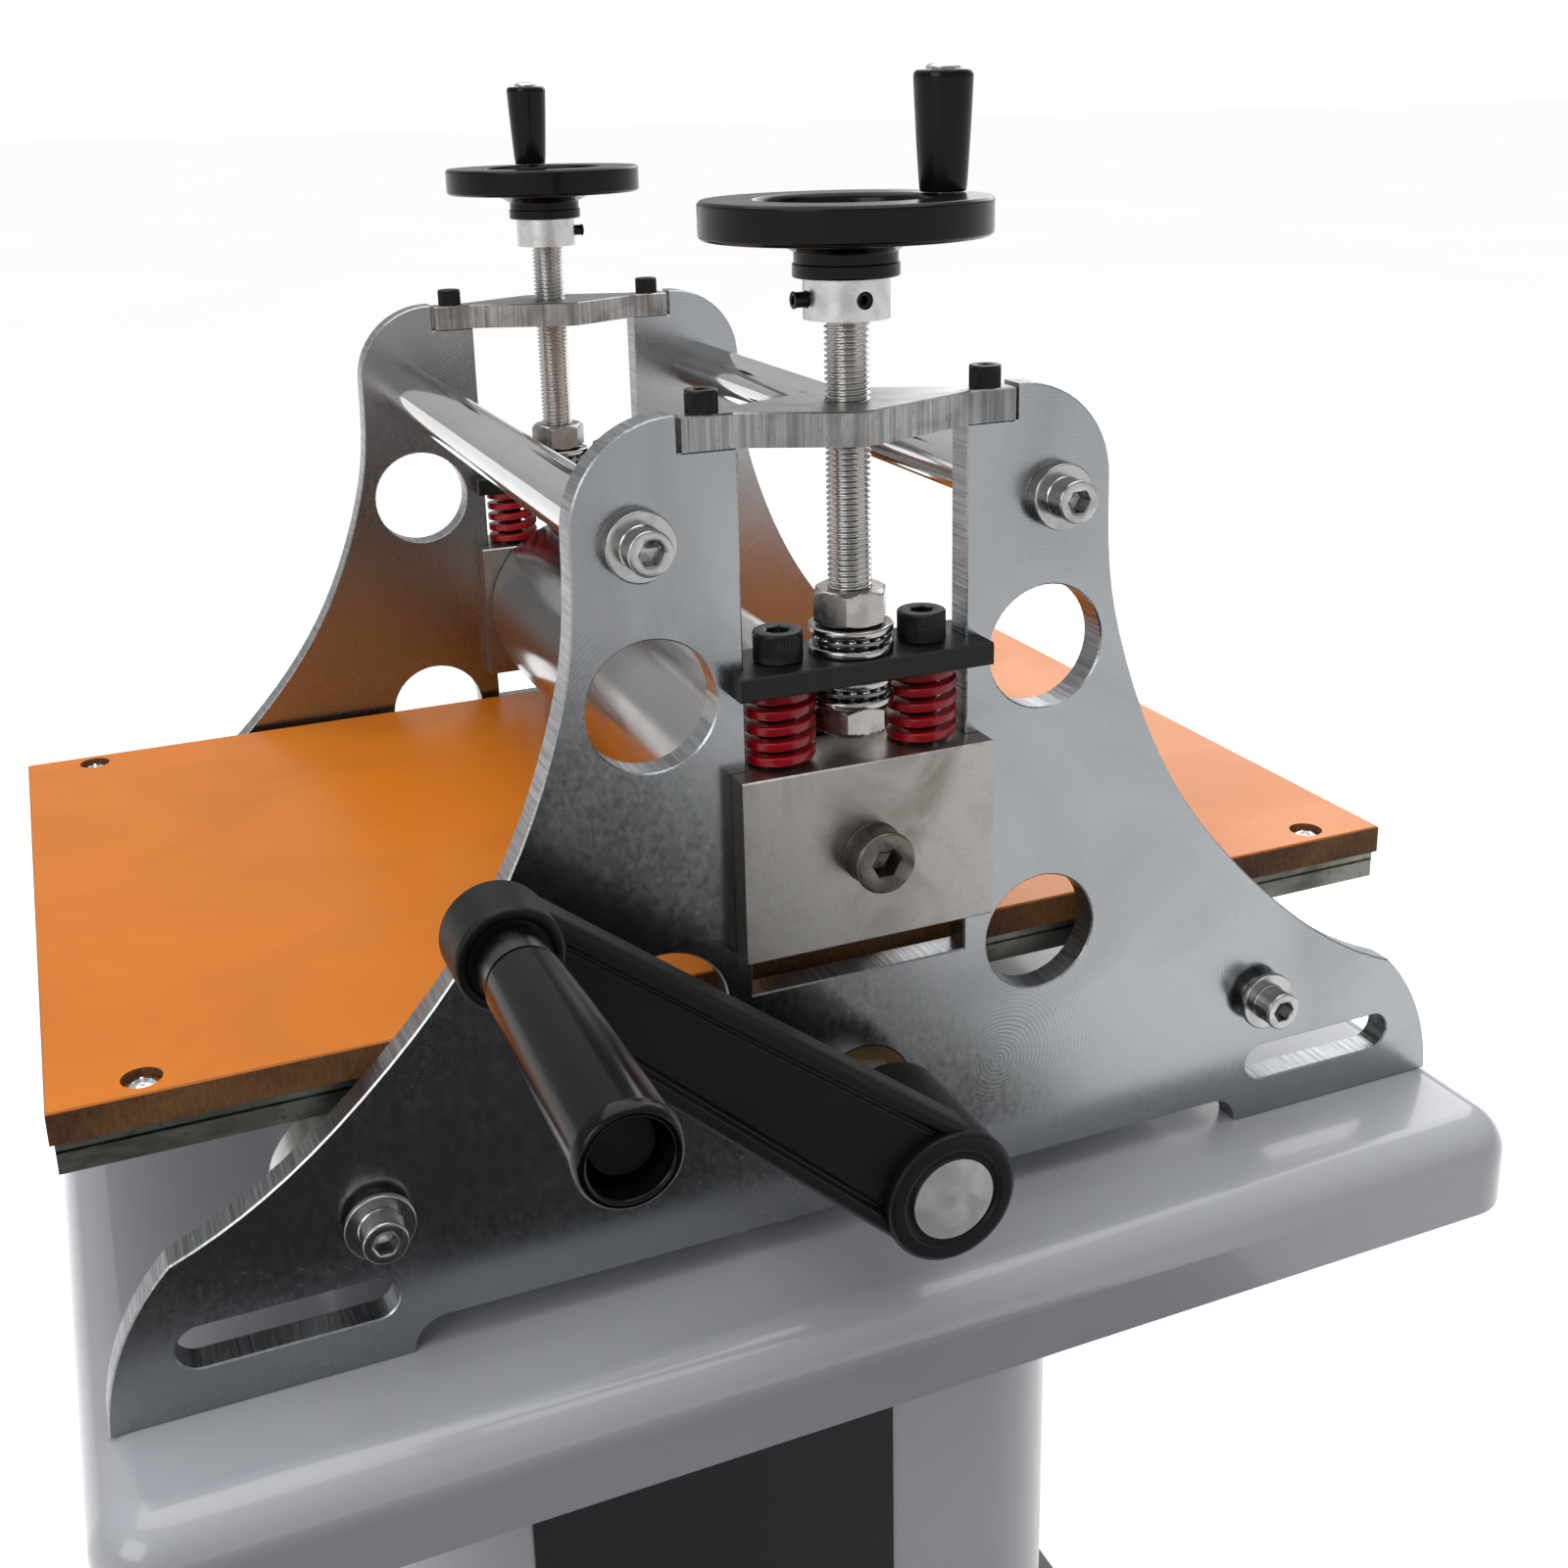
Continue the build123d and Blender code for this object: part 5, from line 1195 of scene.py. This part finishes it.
    def build_grip(self) -> None:
        """The tapered grip of the wheel, and the pin with a domed cap that it turns on."""
        low, high = span(self.node("wheel_grip"))
        x, y = (low[0] + high[0]) / 2, (low[1] + high[1]) / 2
        height, top = high[2] - low[2], (high[0] - low[0]) / 2
        bore = self.pin_radius + 0.06 * MM
        corners = [
            (bore, height / 2, 0),
            (bore, 0, 0.2 * MM),
            (top * 0.78, 0, 0.8 * MM),
            (top * 0.82, 3 * MM, 1.5 * MM),
            (top * 0.93, height * 0.52, 9 * MM),
            (top, height * 0.95, 1.0 * MM),
            (top * 0.98, height - 0.8 * MM, 0.6 * MM),
            (top * 0.90, height, 0.6 * MM),
            (bore, height, 0.2 * MM),
            (bore, height / 2 + HAIR, 0),
        ]
        grip = turned(eased(corners, 6), 72, hoop=True).placed((x, y, low[2]))
        add_piece(
            f"wheel_knob_{self.side.word}", grip, PLASTIC,
            f"{self.side.word}_wheel_grip", (self.node("wheel_grip"),),
        )
        low, high = span(self.node("wheel_grip_pin"))
        length, cap = high[2] - low[2], (high[0] - low[0]) / 2
        corners = [
            (self.pin_radius * 0.5, 0, 0),
            (self.pin_radius, 0, 0.3 * MM),
            (self.pin_radius, length - 2 * MM, 0),
            (cap, length - 2 * MM, 0.2 * MM),
            (cap, length - 1.2 * MM, 0.3 * MM),
            (cap * 0.75, length - 0.2 * MM, 1.2 * MM),
            (cap * 0.2, length, 0),
        ]
        pin = turned(eased(corners), 48).placed((x, y, low[2]))
        add_piece(
            f"knob_pin_{self.side.word}", pin, ALLOY, self.body,
            (self.node("wheel_grip_pin"),)
        )


@dataclass
class ThrustBearings:
    """Four stacks of washer, ball cage and washer, above and below each pressure bar."""

    outer: float = 15.5 * MM
    bore: float = 8.3 * MM
    washer_thick: float = 3 * MM
    cage_thick: float = 4.4 * MM
    cage_high: float = 1.7 * MM
    ball_circle: float = 12.3 * MM
    ball_radius: float = 2.1 * MM
    balls: int = 16

    def build(self) -> None:
        """Makes the washers, cages and balls as three pieces on the pressure bars."""
        washers, cages, balls = [], [], []
        height = 2 * self.washer_thick + self.cage_thick
        around = np.arange(self.balls) * TURN / self.balls
        arc = np.linspace(-1.45, 1.45, 9)
        ball = turned(np.stack([np.cos(arc), np.sin(arc)], 1) * self.ball_radius, 12)
        for side in Side:
            low, high = span(f"pressure_bar_{side.word}")
            y = (low[1] + high[1]) / 2
            for base in (high[2], low[2] - height):
                ring = washer(self.outer, self.bore, self.washer_thick, 1.1 * MM)
                washers.append(ring.placed((0, y, base)))
                washers.append(ring.placed((0, y, base + self.washer_thick + self.cage_thick)))
                cage = washer(self.outer - 1.0 * MM, self.bore, self.cage_high, 0.5 * MM)
                middle = base + self.washer_thick
                cages.append(cage.placed((0, y, middle + (self.cage_thick - self.cage_high) / 2)))
                for angle in around:
                    spot = (
                        self.ball_circle * math.cos(angle), y + self.ball_circle * math.sin(angle)
                    )
                    balls.append(ball.placed((*spot, middle + self.cage_thick / 2)))
        body = "pressure_bars"
        add_piece(
            "thrust_washers", joined(washers), BEARING, body, ("thrust_bearings",)
        )
        add_piece("thrust_cages", joined(cages), CAGE, body)
        add_piece("thrust_balls", joined(balls), CHROME, body)


@dataclass
class DieSprings:
    """Two flat-wire die springs under one pressure bar, with closed and ground ends."""

    side: Side
    outer: float = 13 * MM
    wire_wide: float = 4.8 * MM
    wire_high: float = 3.6 * MM
    turns: float = 5.3
    closed: float = 0.55
    travel: float = 3 * MM

    def coil(self, height: float) -> Skin:
        """One spring that stands on its origin.

        The wire's middle climbs by its own height a turn in the closed ends and evenly between
        them.  Its section is |u|^(20/3) + |v|^(20/3) = 1, clipped flat at both ends of the spring.

        Args:
            height: of the whole spring.

        Returns:
            The closed surface of the wire.
        """
        angle = np.linspace(0, self.turns * TURN, int(self.turns * 40))
        turn = angle / TURN
        ends = np.clip(np.minimum(turn, self.turns - turn) / self.closed - 0.6, 0, 1)
        middle_rate = 1.0
        for _ in range(30):
            rate = self.wire_high * 0.93 * (1 - ends) + middle_rate * MM * ends
            rise = np.concatenate([[0], np.cumsum((rate[1:] + rate[:-1]) / 2 * np.diff(turn))])
            middle_rate *= (height - self.wire_high * 0.35) / rise[-1] * 0.5 + 0.5
        centre = rise + (height - rise[-1]) / 2
        around = (np.arange(20) + 0.5) * TURN / 20
        u = np.sign(np.cos(around)) * np.abs(np.cos(around)) ** 0.3 * self.wire_wide / 2
        v = np.sign(np.sin(around)) * np.abs(np.sin(around)) ** 0.3 * self.wire_high / 2
        radius = (self.outer - self.wire_wide / 2 + u)[None, :]
        level = np.clip(centre[:, None] + v[None, :], 0, height)
        return loft(polar(radius, angle[:, None], level))

    def build(self) -> None:
        """Makes both springs."""
        skins = []
        for x_sign in (-1, 1):
            low, high = quarter(f"die_springs_{self.side.word}", x_sign, self.side.sign)
            x, y = (low[0] + high[0]) / 2, (low[1] + high[1]) / 2
            skins.append(self.coil(high[2] - low[2]).placed((x, y, low[2])))
        low, high = span(f"die_springs_{self.side.word}")
        piece = add_piece(
            f"coil_springs_{self.side.word}", joined(skins), RED, "pressure_bars",
            (f"die_springs_{self.side.word}",),
        )
        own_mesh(piece)


@dataclass
class Fasteners:
    """Cap screws and washers of the side plates, blocks, bars and bridges."""

    def upright(
        self, node: str, name: str, body: str, head: float, knurls: int, socket: float
    ) -> None:
        """Replaces four upright cap screws.

        Args:
            node: the CAD node.
            name: the new piece's name.
            body: the CAD body.
            head: height of the heads.
            knurls: ridges round a head.
            socket: from the middle to a flat of the socket.
        """
        skins = []
        for _, low, high in quarters(node):
            radius = (high[0] - low[0]) / 2
            length = high[2] - low[2] - head
            screw = SocketScrew(radius, head, radius * 0.54, length, socket, knurls)
            middle = (low[0] + high[0]) / 2, (low[1] + high[1]) / 2
            skins.append(screw.skin().placed((*middle, high[2] - head)))
        add_piece(name, joined(skins), OXIDE_AND_PIN_SHADE, body, (node,), 42.0)

    def sideways(
        self, node: str, name: str, finish: Finish, head: float, socket: float
    ) -> None:
        """Replaces the four cap screws that hold a pair of tie rods.

        Args:
            node: the CAD node.
            name: the new piece's name.
            finish: its finish.
            head: height of the heads.
            socket: from the middle to a flat of the socket.
        """
        skins = []
        for y_sign, low, high in quarters(node):
            radius = (high[0] - low[0]) / 2
            outer = high[1] if y_sign > 0 else low[1]
            length = high[1] - low[1] - head
            screw = SocketScrew(radius, head, radius * 0.62, length, socket, 0)
            spot = ((low[0] + high[0]) / 2, outer - y_sign * head, (low[2] + high[2]) / 2)
            skins.append(screw.skin().placed(spot, (0, y_sign, 0)))
        add_piece(name, joined(skins), finish, "root", (node,), 42.0)

    def rod_washers(self, node: str, name: str, parts: tuple[tuple[float, float], ...]) -> None:
        """Replaces the washers under the rod bolts.

        Args:
            node: the CAD node.
            name: the new piece's name.
            parts: (radius, thickness) of each washer from the plate outwards.
        """
        skins = []
        for y_sign, low, high in quarters(node):
            start = low[1] if y_sign > 0 else high[1]
            for radius, thick in parts:
                ring = washer(radius, 5.5 * MM, thick, min(0.7 * MM, thick * 0.3))
                spot = ((low[0] + high[0]) / 2, start, (low[2] + high[2]) / 2)
                skins.append(ring.placed(spot, (0, y_sign, 0)))
                start += y_sign * thick
        add_piece(name, joined(skins), ZINC, "root", (node,))

    def axle_screws(self) -> None:
        """Replaces the worn screws that hold the roller's axle in the blocks."""
        skins = []
        for side in Side:
            low, high = span("axle_bolts")
            head, radius = 12 * MM, (high[0] - low[0]) / 2
            face = high[1] if side is Side.REAR else low[1]
            screw = SocketScrew(radius, head, 6 * MM, 20 * MM, 5 * MM, 0)
            spot = ((low[0] + high[0]) / 2, face - side.sign * head, (low[2] + high[2]) / 2)
            skins.append(screw.skin().placed(spot, (0, side.sign, 0)))
        add_piece(
            "axle_screws", joined(skins), OLD_BOLT, "carriage", ("axle_bolts",),
            42.0
        )

    def build(self) -> None:
        """Makes every group of fasteners that shows."""
        self.upright("carriage_bolts", "knurled_cap_screws", "carriage", 11 * MM, 48, 4 * MM)
        self.upright("bridge_bolts", "bridge_cap_screws", "root", 8 * MM, 36, 2.5 * MM)
        self.sideways("upper_rod_bolts", "upper_cap_screws", ZINC, 10 * MM, 4 * MM)
        self.sideways("lower_rod_bolts", "lower_cap_screws", ZINC, 10 * MM, 4 * MM)
        self.rod_washers("upper_rod_washers", "thick_washers", ((12.5 * MM, 6 * MM),))
        self.rod_washers(
            "lower_rod_washers", "stacked_washers", ((8.5 * MM, 4 * MM), (12.5 * MM, 2.5 * MM))
        )
        self.axle_screws()


@dataclass
class Bed:
    """The sliding bed's cross-head screws; its board and plate keep their CAD shape."""

    head_height: float = 2.8 * MM
    cross_long: float = 3.1 * MM
    cross_half: float = 0.55 * MM
    cross_deep: float = 1.7 * MM

    def head(self, radius: float) -> Skin:
        """A domed head with a cross recess, on its origin.

        The height is a dome h (1 - 0.35 (r/R)^2), less a recess where the place lies within half a
        bar's width of either arm of the cross, and the recess grows shallow towards its ends.

        Args:
            radius: of the head.

        Returns:
            The closed surface.
        """
        theta = (np.arange(96) * TURN / 96)[None, :]
        share = np.concatenate([[1.0], np.linspace(1.0, 0.03, 30)])[:, None]
        x, y = share * radius * np.cos(theta), share * radius * np.sin(theta)
        dome = self.head_height * (1 - 0.35 * share**2)
        narrow = np.minimum(np.abs(x), np.abs(y))
        along = np.maximum(np.abs(x), np.abs(y))
        inside = np.clip((self.cross_half - narrow) / (0.3 * self.cross_half) + 0.5, 0, 1)
        depth = self.cross_deep * inside * np.clip(
            (self.cross_long - along) / (0.45 * self.cross_long), 0, 1
        )
        level = dome + 0 * theta - depth
        level[0] = 0
        return loft(np.stack([x, y, level], axis=-1))

    def build(self) -> None:
        """Puts a head in each of the board's four pockets."""
        low, high = span("bed_screws")
        radius = 5 * MM
        skins = []
        for x in (low[0] + radius, high[0] - radius):
            for y in (low[1] + radius, high[1] - radius):
                skins.append(self.head(radius).placed((x, y, high[2] - self.head_height)))
        add_piece(
            "cross_head_screws", joined(skins), SCREW_BRIGHT, "bed", ("bed_screws",)
        )


@dataclass
class Crank:
    """The crank: tapered arm with a sunk panel, hub, boss and turning grip."""

    hub_radius: float = 25 * MM
    boss_radius: float = 17 * MM
    arm_back: float = -252 * MM
    arm_front: float = -267 * MM
    hub_back: float = -215 * MM
    hub_front: float = -270 * MM
    boss_front: float = -275 * MM
    shaft_radius: float = 15.53 * MM
    pin_radius: float = 6.03 * MM
    border: float = 5.5 * MM
    panel_depth: float = 2.4 * MM

    def ends(self) -> tuple[np.ndarray, np.ndarray]:
        """Places of the hub and the boss in X and Z, from the drive's joint and the grip's."""
        spots = {
            joint["name"]: joint["pos_m"] for joint in frame["joints"] if joint["type"] == "hinge"
        }
        hub, boss = spots["crank_turn"], spots["crank_grip_spin"]
        return np.array([hub[0], hub[2]]), np.array([boss[0], boss[2]])

    def outline(self, inset: float) -> np.ndarray:
        """Tapered outline round hub and boss, drawn in by an inset.

        Two arcs of radius R - inset about the two ends, joined by their outer tangents, which lean
        from the arm's line by asin((R - r) / reach).

        Args:
            inset: how far inside the full outline.

        Returns:
            (n, 2) places in X and Z.
        """
        hub, boss = self.ends()
        way = (boss - hub) / np.linalg.norm(boss - hub)
        side = np.array([-way[1], way[0]])
        lean = math.asin((self.hub_radius - self.boss_radius) / np.linalg.norm(boss - hub))
        start = math.pi / 2 - lean

        def arc(
            centre: np.ndarray, radius: float, low: float, high: float, count: int
        ) -> np.ndarray:
            """Points on a circle between two angles from the arm's line."""
            a = np.linspace(low, high, count)[:, None]
            return centre + radius * (np.cos(a) * way + np.sin(a) * side)

        small = arc(boss, self.boss_radius - inset, -start, start, 28)
        large = arc(hub, self.hub_radius - inset, start, TURN - start, 40)
        t = np.linspace(0, 1, 14)[1:-1, None]
        up = small[-1] + (large[0] - small[-1]) * t
        down = large[-1] + (small[0] - large[-1]) * t
        return np.concatenate([small, up, large, down])

    def arm(self) -> Skin:
        """The arm: its outline carried along a profile of (inset, depth) from back to front.

        Returns:
            The closed surface.
        """
        thick = abs(self.arm_front - self.arm_back)
        step, sink = self.border, self.panel_depth
        corners = [
            (self.boss_radius * 0.9, 0, 0),
            (1.0 * MM, 0, 1.2 * MM),
            (1.0 * MM, thick, 3.4 * MM),
            (1.0 * MM + step, thick, 0.7 * MM),
            (1.9 * MM + step, thick - sink, 0.7 * MM),
            (3.2 * MM + step, thick - sink, 0.5 * MM),
            (3.7 * MM + step, thick - sink + 0.7 * MM, 0.5 * MM),
            (self.boss_radius * 0.9, thick - sink + 0.7 * MM, 0),
        ]
        rows = []
        for inset, depth in eased(corners, 6):
            flat = self.outline(inset)
            rows.append(
                np.stack([flat[:, 0], np.full(len(flat), self.arm_back - depth), flat[:, 1]], 1)
            )
        return loft(np.stack(rows))

    def ring(
        self, centre: np.ndarray, back: float, front: float, outer: float, bore: float, lip: float
    ) -> Skin:
        """A hub or boss with an eased front edge and a sunk lip round its bore.

        Args:
            centre: its place in X and Z.
            back, front: where it starts and ends along Y.
            outer, bore: its outer radius and its hole's.
            lip: width of the rim round the sunk face.

        Returns:
            The closed surface round the bore.
        """
        long = back - front
        corners = [
            (bore, long / 2, 0),
            (bore, 0, 0.3 * MM),
            (outer, 0, 1.5 * MM),
            (outer, long, 2.6 * MM),
            (outer - lip, long, 0.8 * MM),
            (outer - lip - 0.8 * MM, long - 1.4 * MM, 0.6 * MM),
            (bore, long - 1.4 * MM, 0),
            (bore, long / 2 + HAIR, 0),
        ]
        return turned(eased(corners, 6), 96, hoop=True).placed(
            (centre[0], back, centre[1]), (0, -1, 0)
        )

    def grip(self) -> Skin:
        """The grip: a slow taper with a small waist, a rounded lip and a deep hollow end.

        Returns:
            The closed surface round the bore.
        """
        _, boss = self.ends()
        low, high = span("crank_grip")
        long, end = high[1] - low[1], (high[0] - low[0]) / 2
        bore = self.pin_radius + 0.05 * MM
        corners = [
            (bore, long / 2, 0),
            (bore, 0, 0.3 * MM),
            (end * 0.80, 0, 0.8 * MM),
            (end * 0.84, 2.5 * MM, 1.5 * MM),
            (end * 0.93, long * 0.42, 26 * MM),
            (end * 0.985, long * 0.85, 12 * MM),
            (end, long - 3 * MM, 1.5 * MM),
            (end * 0.93, long, 1.6 * MM),
            (end * 0.78, long, 1.2 * MM),
            (end * 0.73, long - 2 * MM, 1.2 * MM),
            (end * 0.70, long - 13.5 * MM, 2 * MM),
            (bore, long - 14 * MM, 0.3 * MM),
            (bore, long / 2 + HAIR, 0),
        ]
        return turned(eased(corners, 8), 96, hoop=True).placed(
            (boss[0], high[1], boss[1]), (0, -1, 0)
        )

    def build(self) -> None:
        """Makes the arm with its hub and boss as one casting, and the grip."""
        hub, boss = self.ends()
        casting = joined([
            self.arm(),
            self.ring(
                hub, self.hub_back, self.hub_front, self.hub_radius, self.shaft_radius, 6.4 * MM
            ),
            self.ring(
                boss, self.arm_back, self.boss_front, self.boss_radius, self.pin_radius, 3.0 * MM
            ),
        ])
        add_piece("crank_casting", casting, SATIN, "drive", ("crank_arm",), 42.0)
        add_piece(
            "hollow_grip", self.grip(), PLASTIC, "crank_handle", ("crank_grip",),
            42.0
        )


@dataclass
class Studio:
    """Pale floor, soft lights, a dark card for the steel to reflect, and the camera."""

    camera_place: tuple[float, float, float] = (-0.2569, -0.7473, 0.8698)
    heading: float = 22.92
    pitch: float = 17.0
    roll: float = -1.23
    lens: float = 40.9
    shift: tuple[float, float] = (-0.0086, -0.0916)

    def build(self) -> None:
        """Makes the whole set."""
        self.floor()
        self.card()
        self.lights()
        self.world()
        self.camera()

    def sheet(
        self, name: str, x: tuple[float, float], y: tuple[float, float], z: float
    ) -> bpy.types.Object:
        """A level sheet between two places in X and two in Y, as a grid of nine points.

        Args:
            name: the object's name.
            x: its ends in X.
            y: its ends in Y.
            z: its height.

        Returns:
            The new object, staged.
        """
        grid = np.stack(np.meshgrid(np.linspace(*x, 3), np.linspace(*y, 3), [z]), -1).reshape(-1, 3)
        number = np.arange(9).reshape(3, 3)
        faces = np.stack([number[:-1, :-1], number[:-1, 1:], number[1:, 1:], number[1:, :-1]], -1)
        mesh = bpy.data.meshes.new(name)
        mesh.from_pydata(grid.tolist(), [], faces.reshape(-1, 4).tolist())
        made = bpy.data.objects.new(name, mesh)
        bpy.context.scene.collection.objects.link(made)
        return made

    def floor(self) -> None:
        """A wide pale floor; its glow shows in the steel but doesn't light the paint."""
        floor = self.sheet("floor", (-60, 60), (-60, 60), -0.0005)
        floor.data.materials.append(PaleFloor().material())
        floor.visible_diffuse = False

    def card(self) -> None:
        """A dark card on the floor at the left front, seen only in reflections."""
        card = self.sheet("dark_card", (-1.6, 0.5), (-2.6, -0.5), 0.01)
        card.data.materials.append(Coating("card", grey(0.01), grey(0.01), 0.9).material())
        card.visible_camera = False
        card.visible_diffuse = False
        card.visible_shadow = False

    def lights(self) -> None:
        """A broad light overhead, one at the left front and one behind at the right."""
        for name, place, size, power, aim in (
            ("overhead", (0.1, 0.2, 2.5), 2.4, 34.0, (0, 0, 0.6)),
            ("left_front", (-1.9, -1.3, 1.6), 1.3, 15.0, (0, 0, 0.6)),
            ("right_back", (1.6, 1.5, 1.8), 1.6, 16.0, (0, 0, 0.7)),
        ):
            data = bpy.data.lights.new(name, "AREA")
            data.shape = "SQUARE"
            data.size = size
            data.energy = power
            lamp = bpy.data.objects.new(name, data)
            lamp.location = place
            lamp.rotation_mode = "QUATERNION"
            lamp.rotation_quaternion = (Vector(aim) - Vector(place)).to_track_quat("-Z", "Y")
            bpy.context.scene.collection.objects.link(lamp)

    def world(self) -> None:
        """White to the eye; in light and reflections pale above and dark below the horizon."""
        world = bpy.data.worlds.new("studio")
        bpy.context.scene.world = world
        world.use_nodes = True
        world.node_tree.nodes.clear()
        wires = Wires(world.node_tree)
        place = wires.add("ShaderNodeTexCoord").outputs["Generated"]
        height = wires.add("ShaderNodeSeparateXYZ", {0: place}).outputs[2]
        share = wires.stretch(height, -0.1, 0.75)
        sky = wires.blend(share, grey(0.62), grey(0.95))
        sky = wires.blend(wires.stretch(height, -0.12, 0.02), grey(0.16), sky)
        eye = wires.add("ShaderNodeLightPath").outputs["Is Camera Ray"]
        colour = wires.blend(eye, sky, grey(1.0))
        strength = wires.math("ADD", 0.62, wires.math("MULTIPLY", eye, 0.38))
        back = wires.add("ShaderNodeBackground", {"Color": colour, "Strength": strength})
        wires.add("ShaderNodeOutputWorld", {"Surface": back.outputs[0]})

    def camera(self) -> None:
        """Stands the camera at the left front, a little over the handwheels' height."""
        data = bpy.data.cameras.new("camera")
        data.lens = self.lens
        data.shift_x, data.shift_y = self.shift
        camera = bpy.data.objects.new("camera", data)
        turn = Matrix.Rotation(math.radians(-self.heading), 4, "Z")
        tip = Matrix.Rotation(math.radians(90 - self.pitch), 4, "X")
        lean = Matrix.Rotation(math.radians(self.roll), 4, "Z")
        camera.matrix_world = Matrix.Translation(self.camera_place) @ turn @ tip @ lean
        bpy.context.scene.collection.objects.link(camera)
        bpy.context.scene.camera = camera
        bpy.context.scene.view_settings.view_transform = "Standard"


def main() -> None:
    """Builds the set, dresses the CAD nodes and makes the finer pieces."""
    logging.basicConfig(level=logging.INFO, format="%(name)s: %(message)s")
    Studio().build()
    for node, finish in NODE_FINISH.items():
        dress(node, finish)
    for side in Side:
        PressureScrew(side).build()
        DieSprings(side).build()
    ThrustBearings().build()
    Fasteners().build()
    Bed().build()
    Crank().build()


if __name__ == "__main__":
    main()
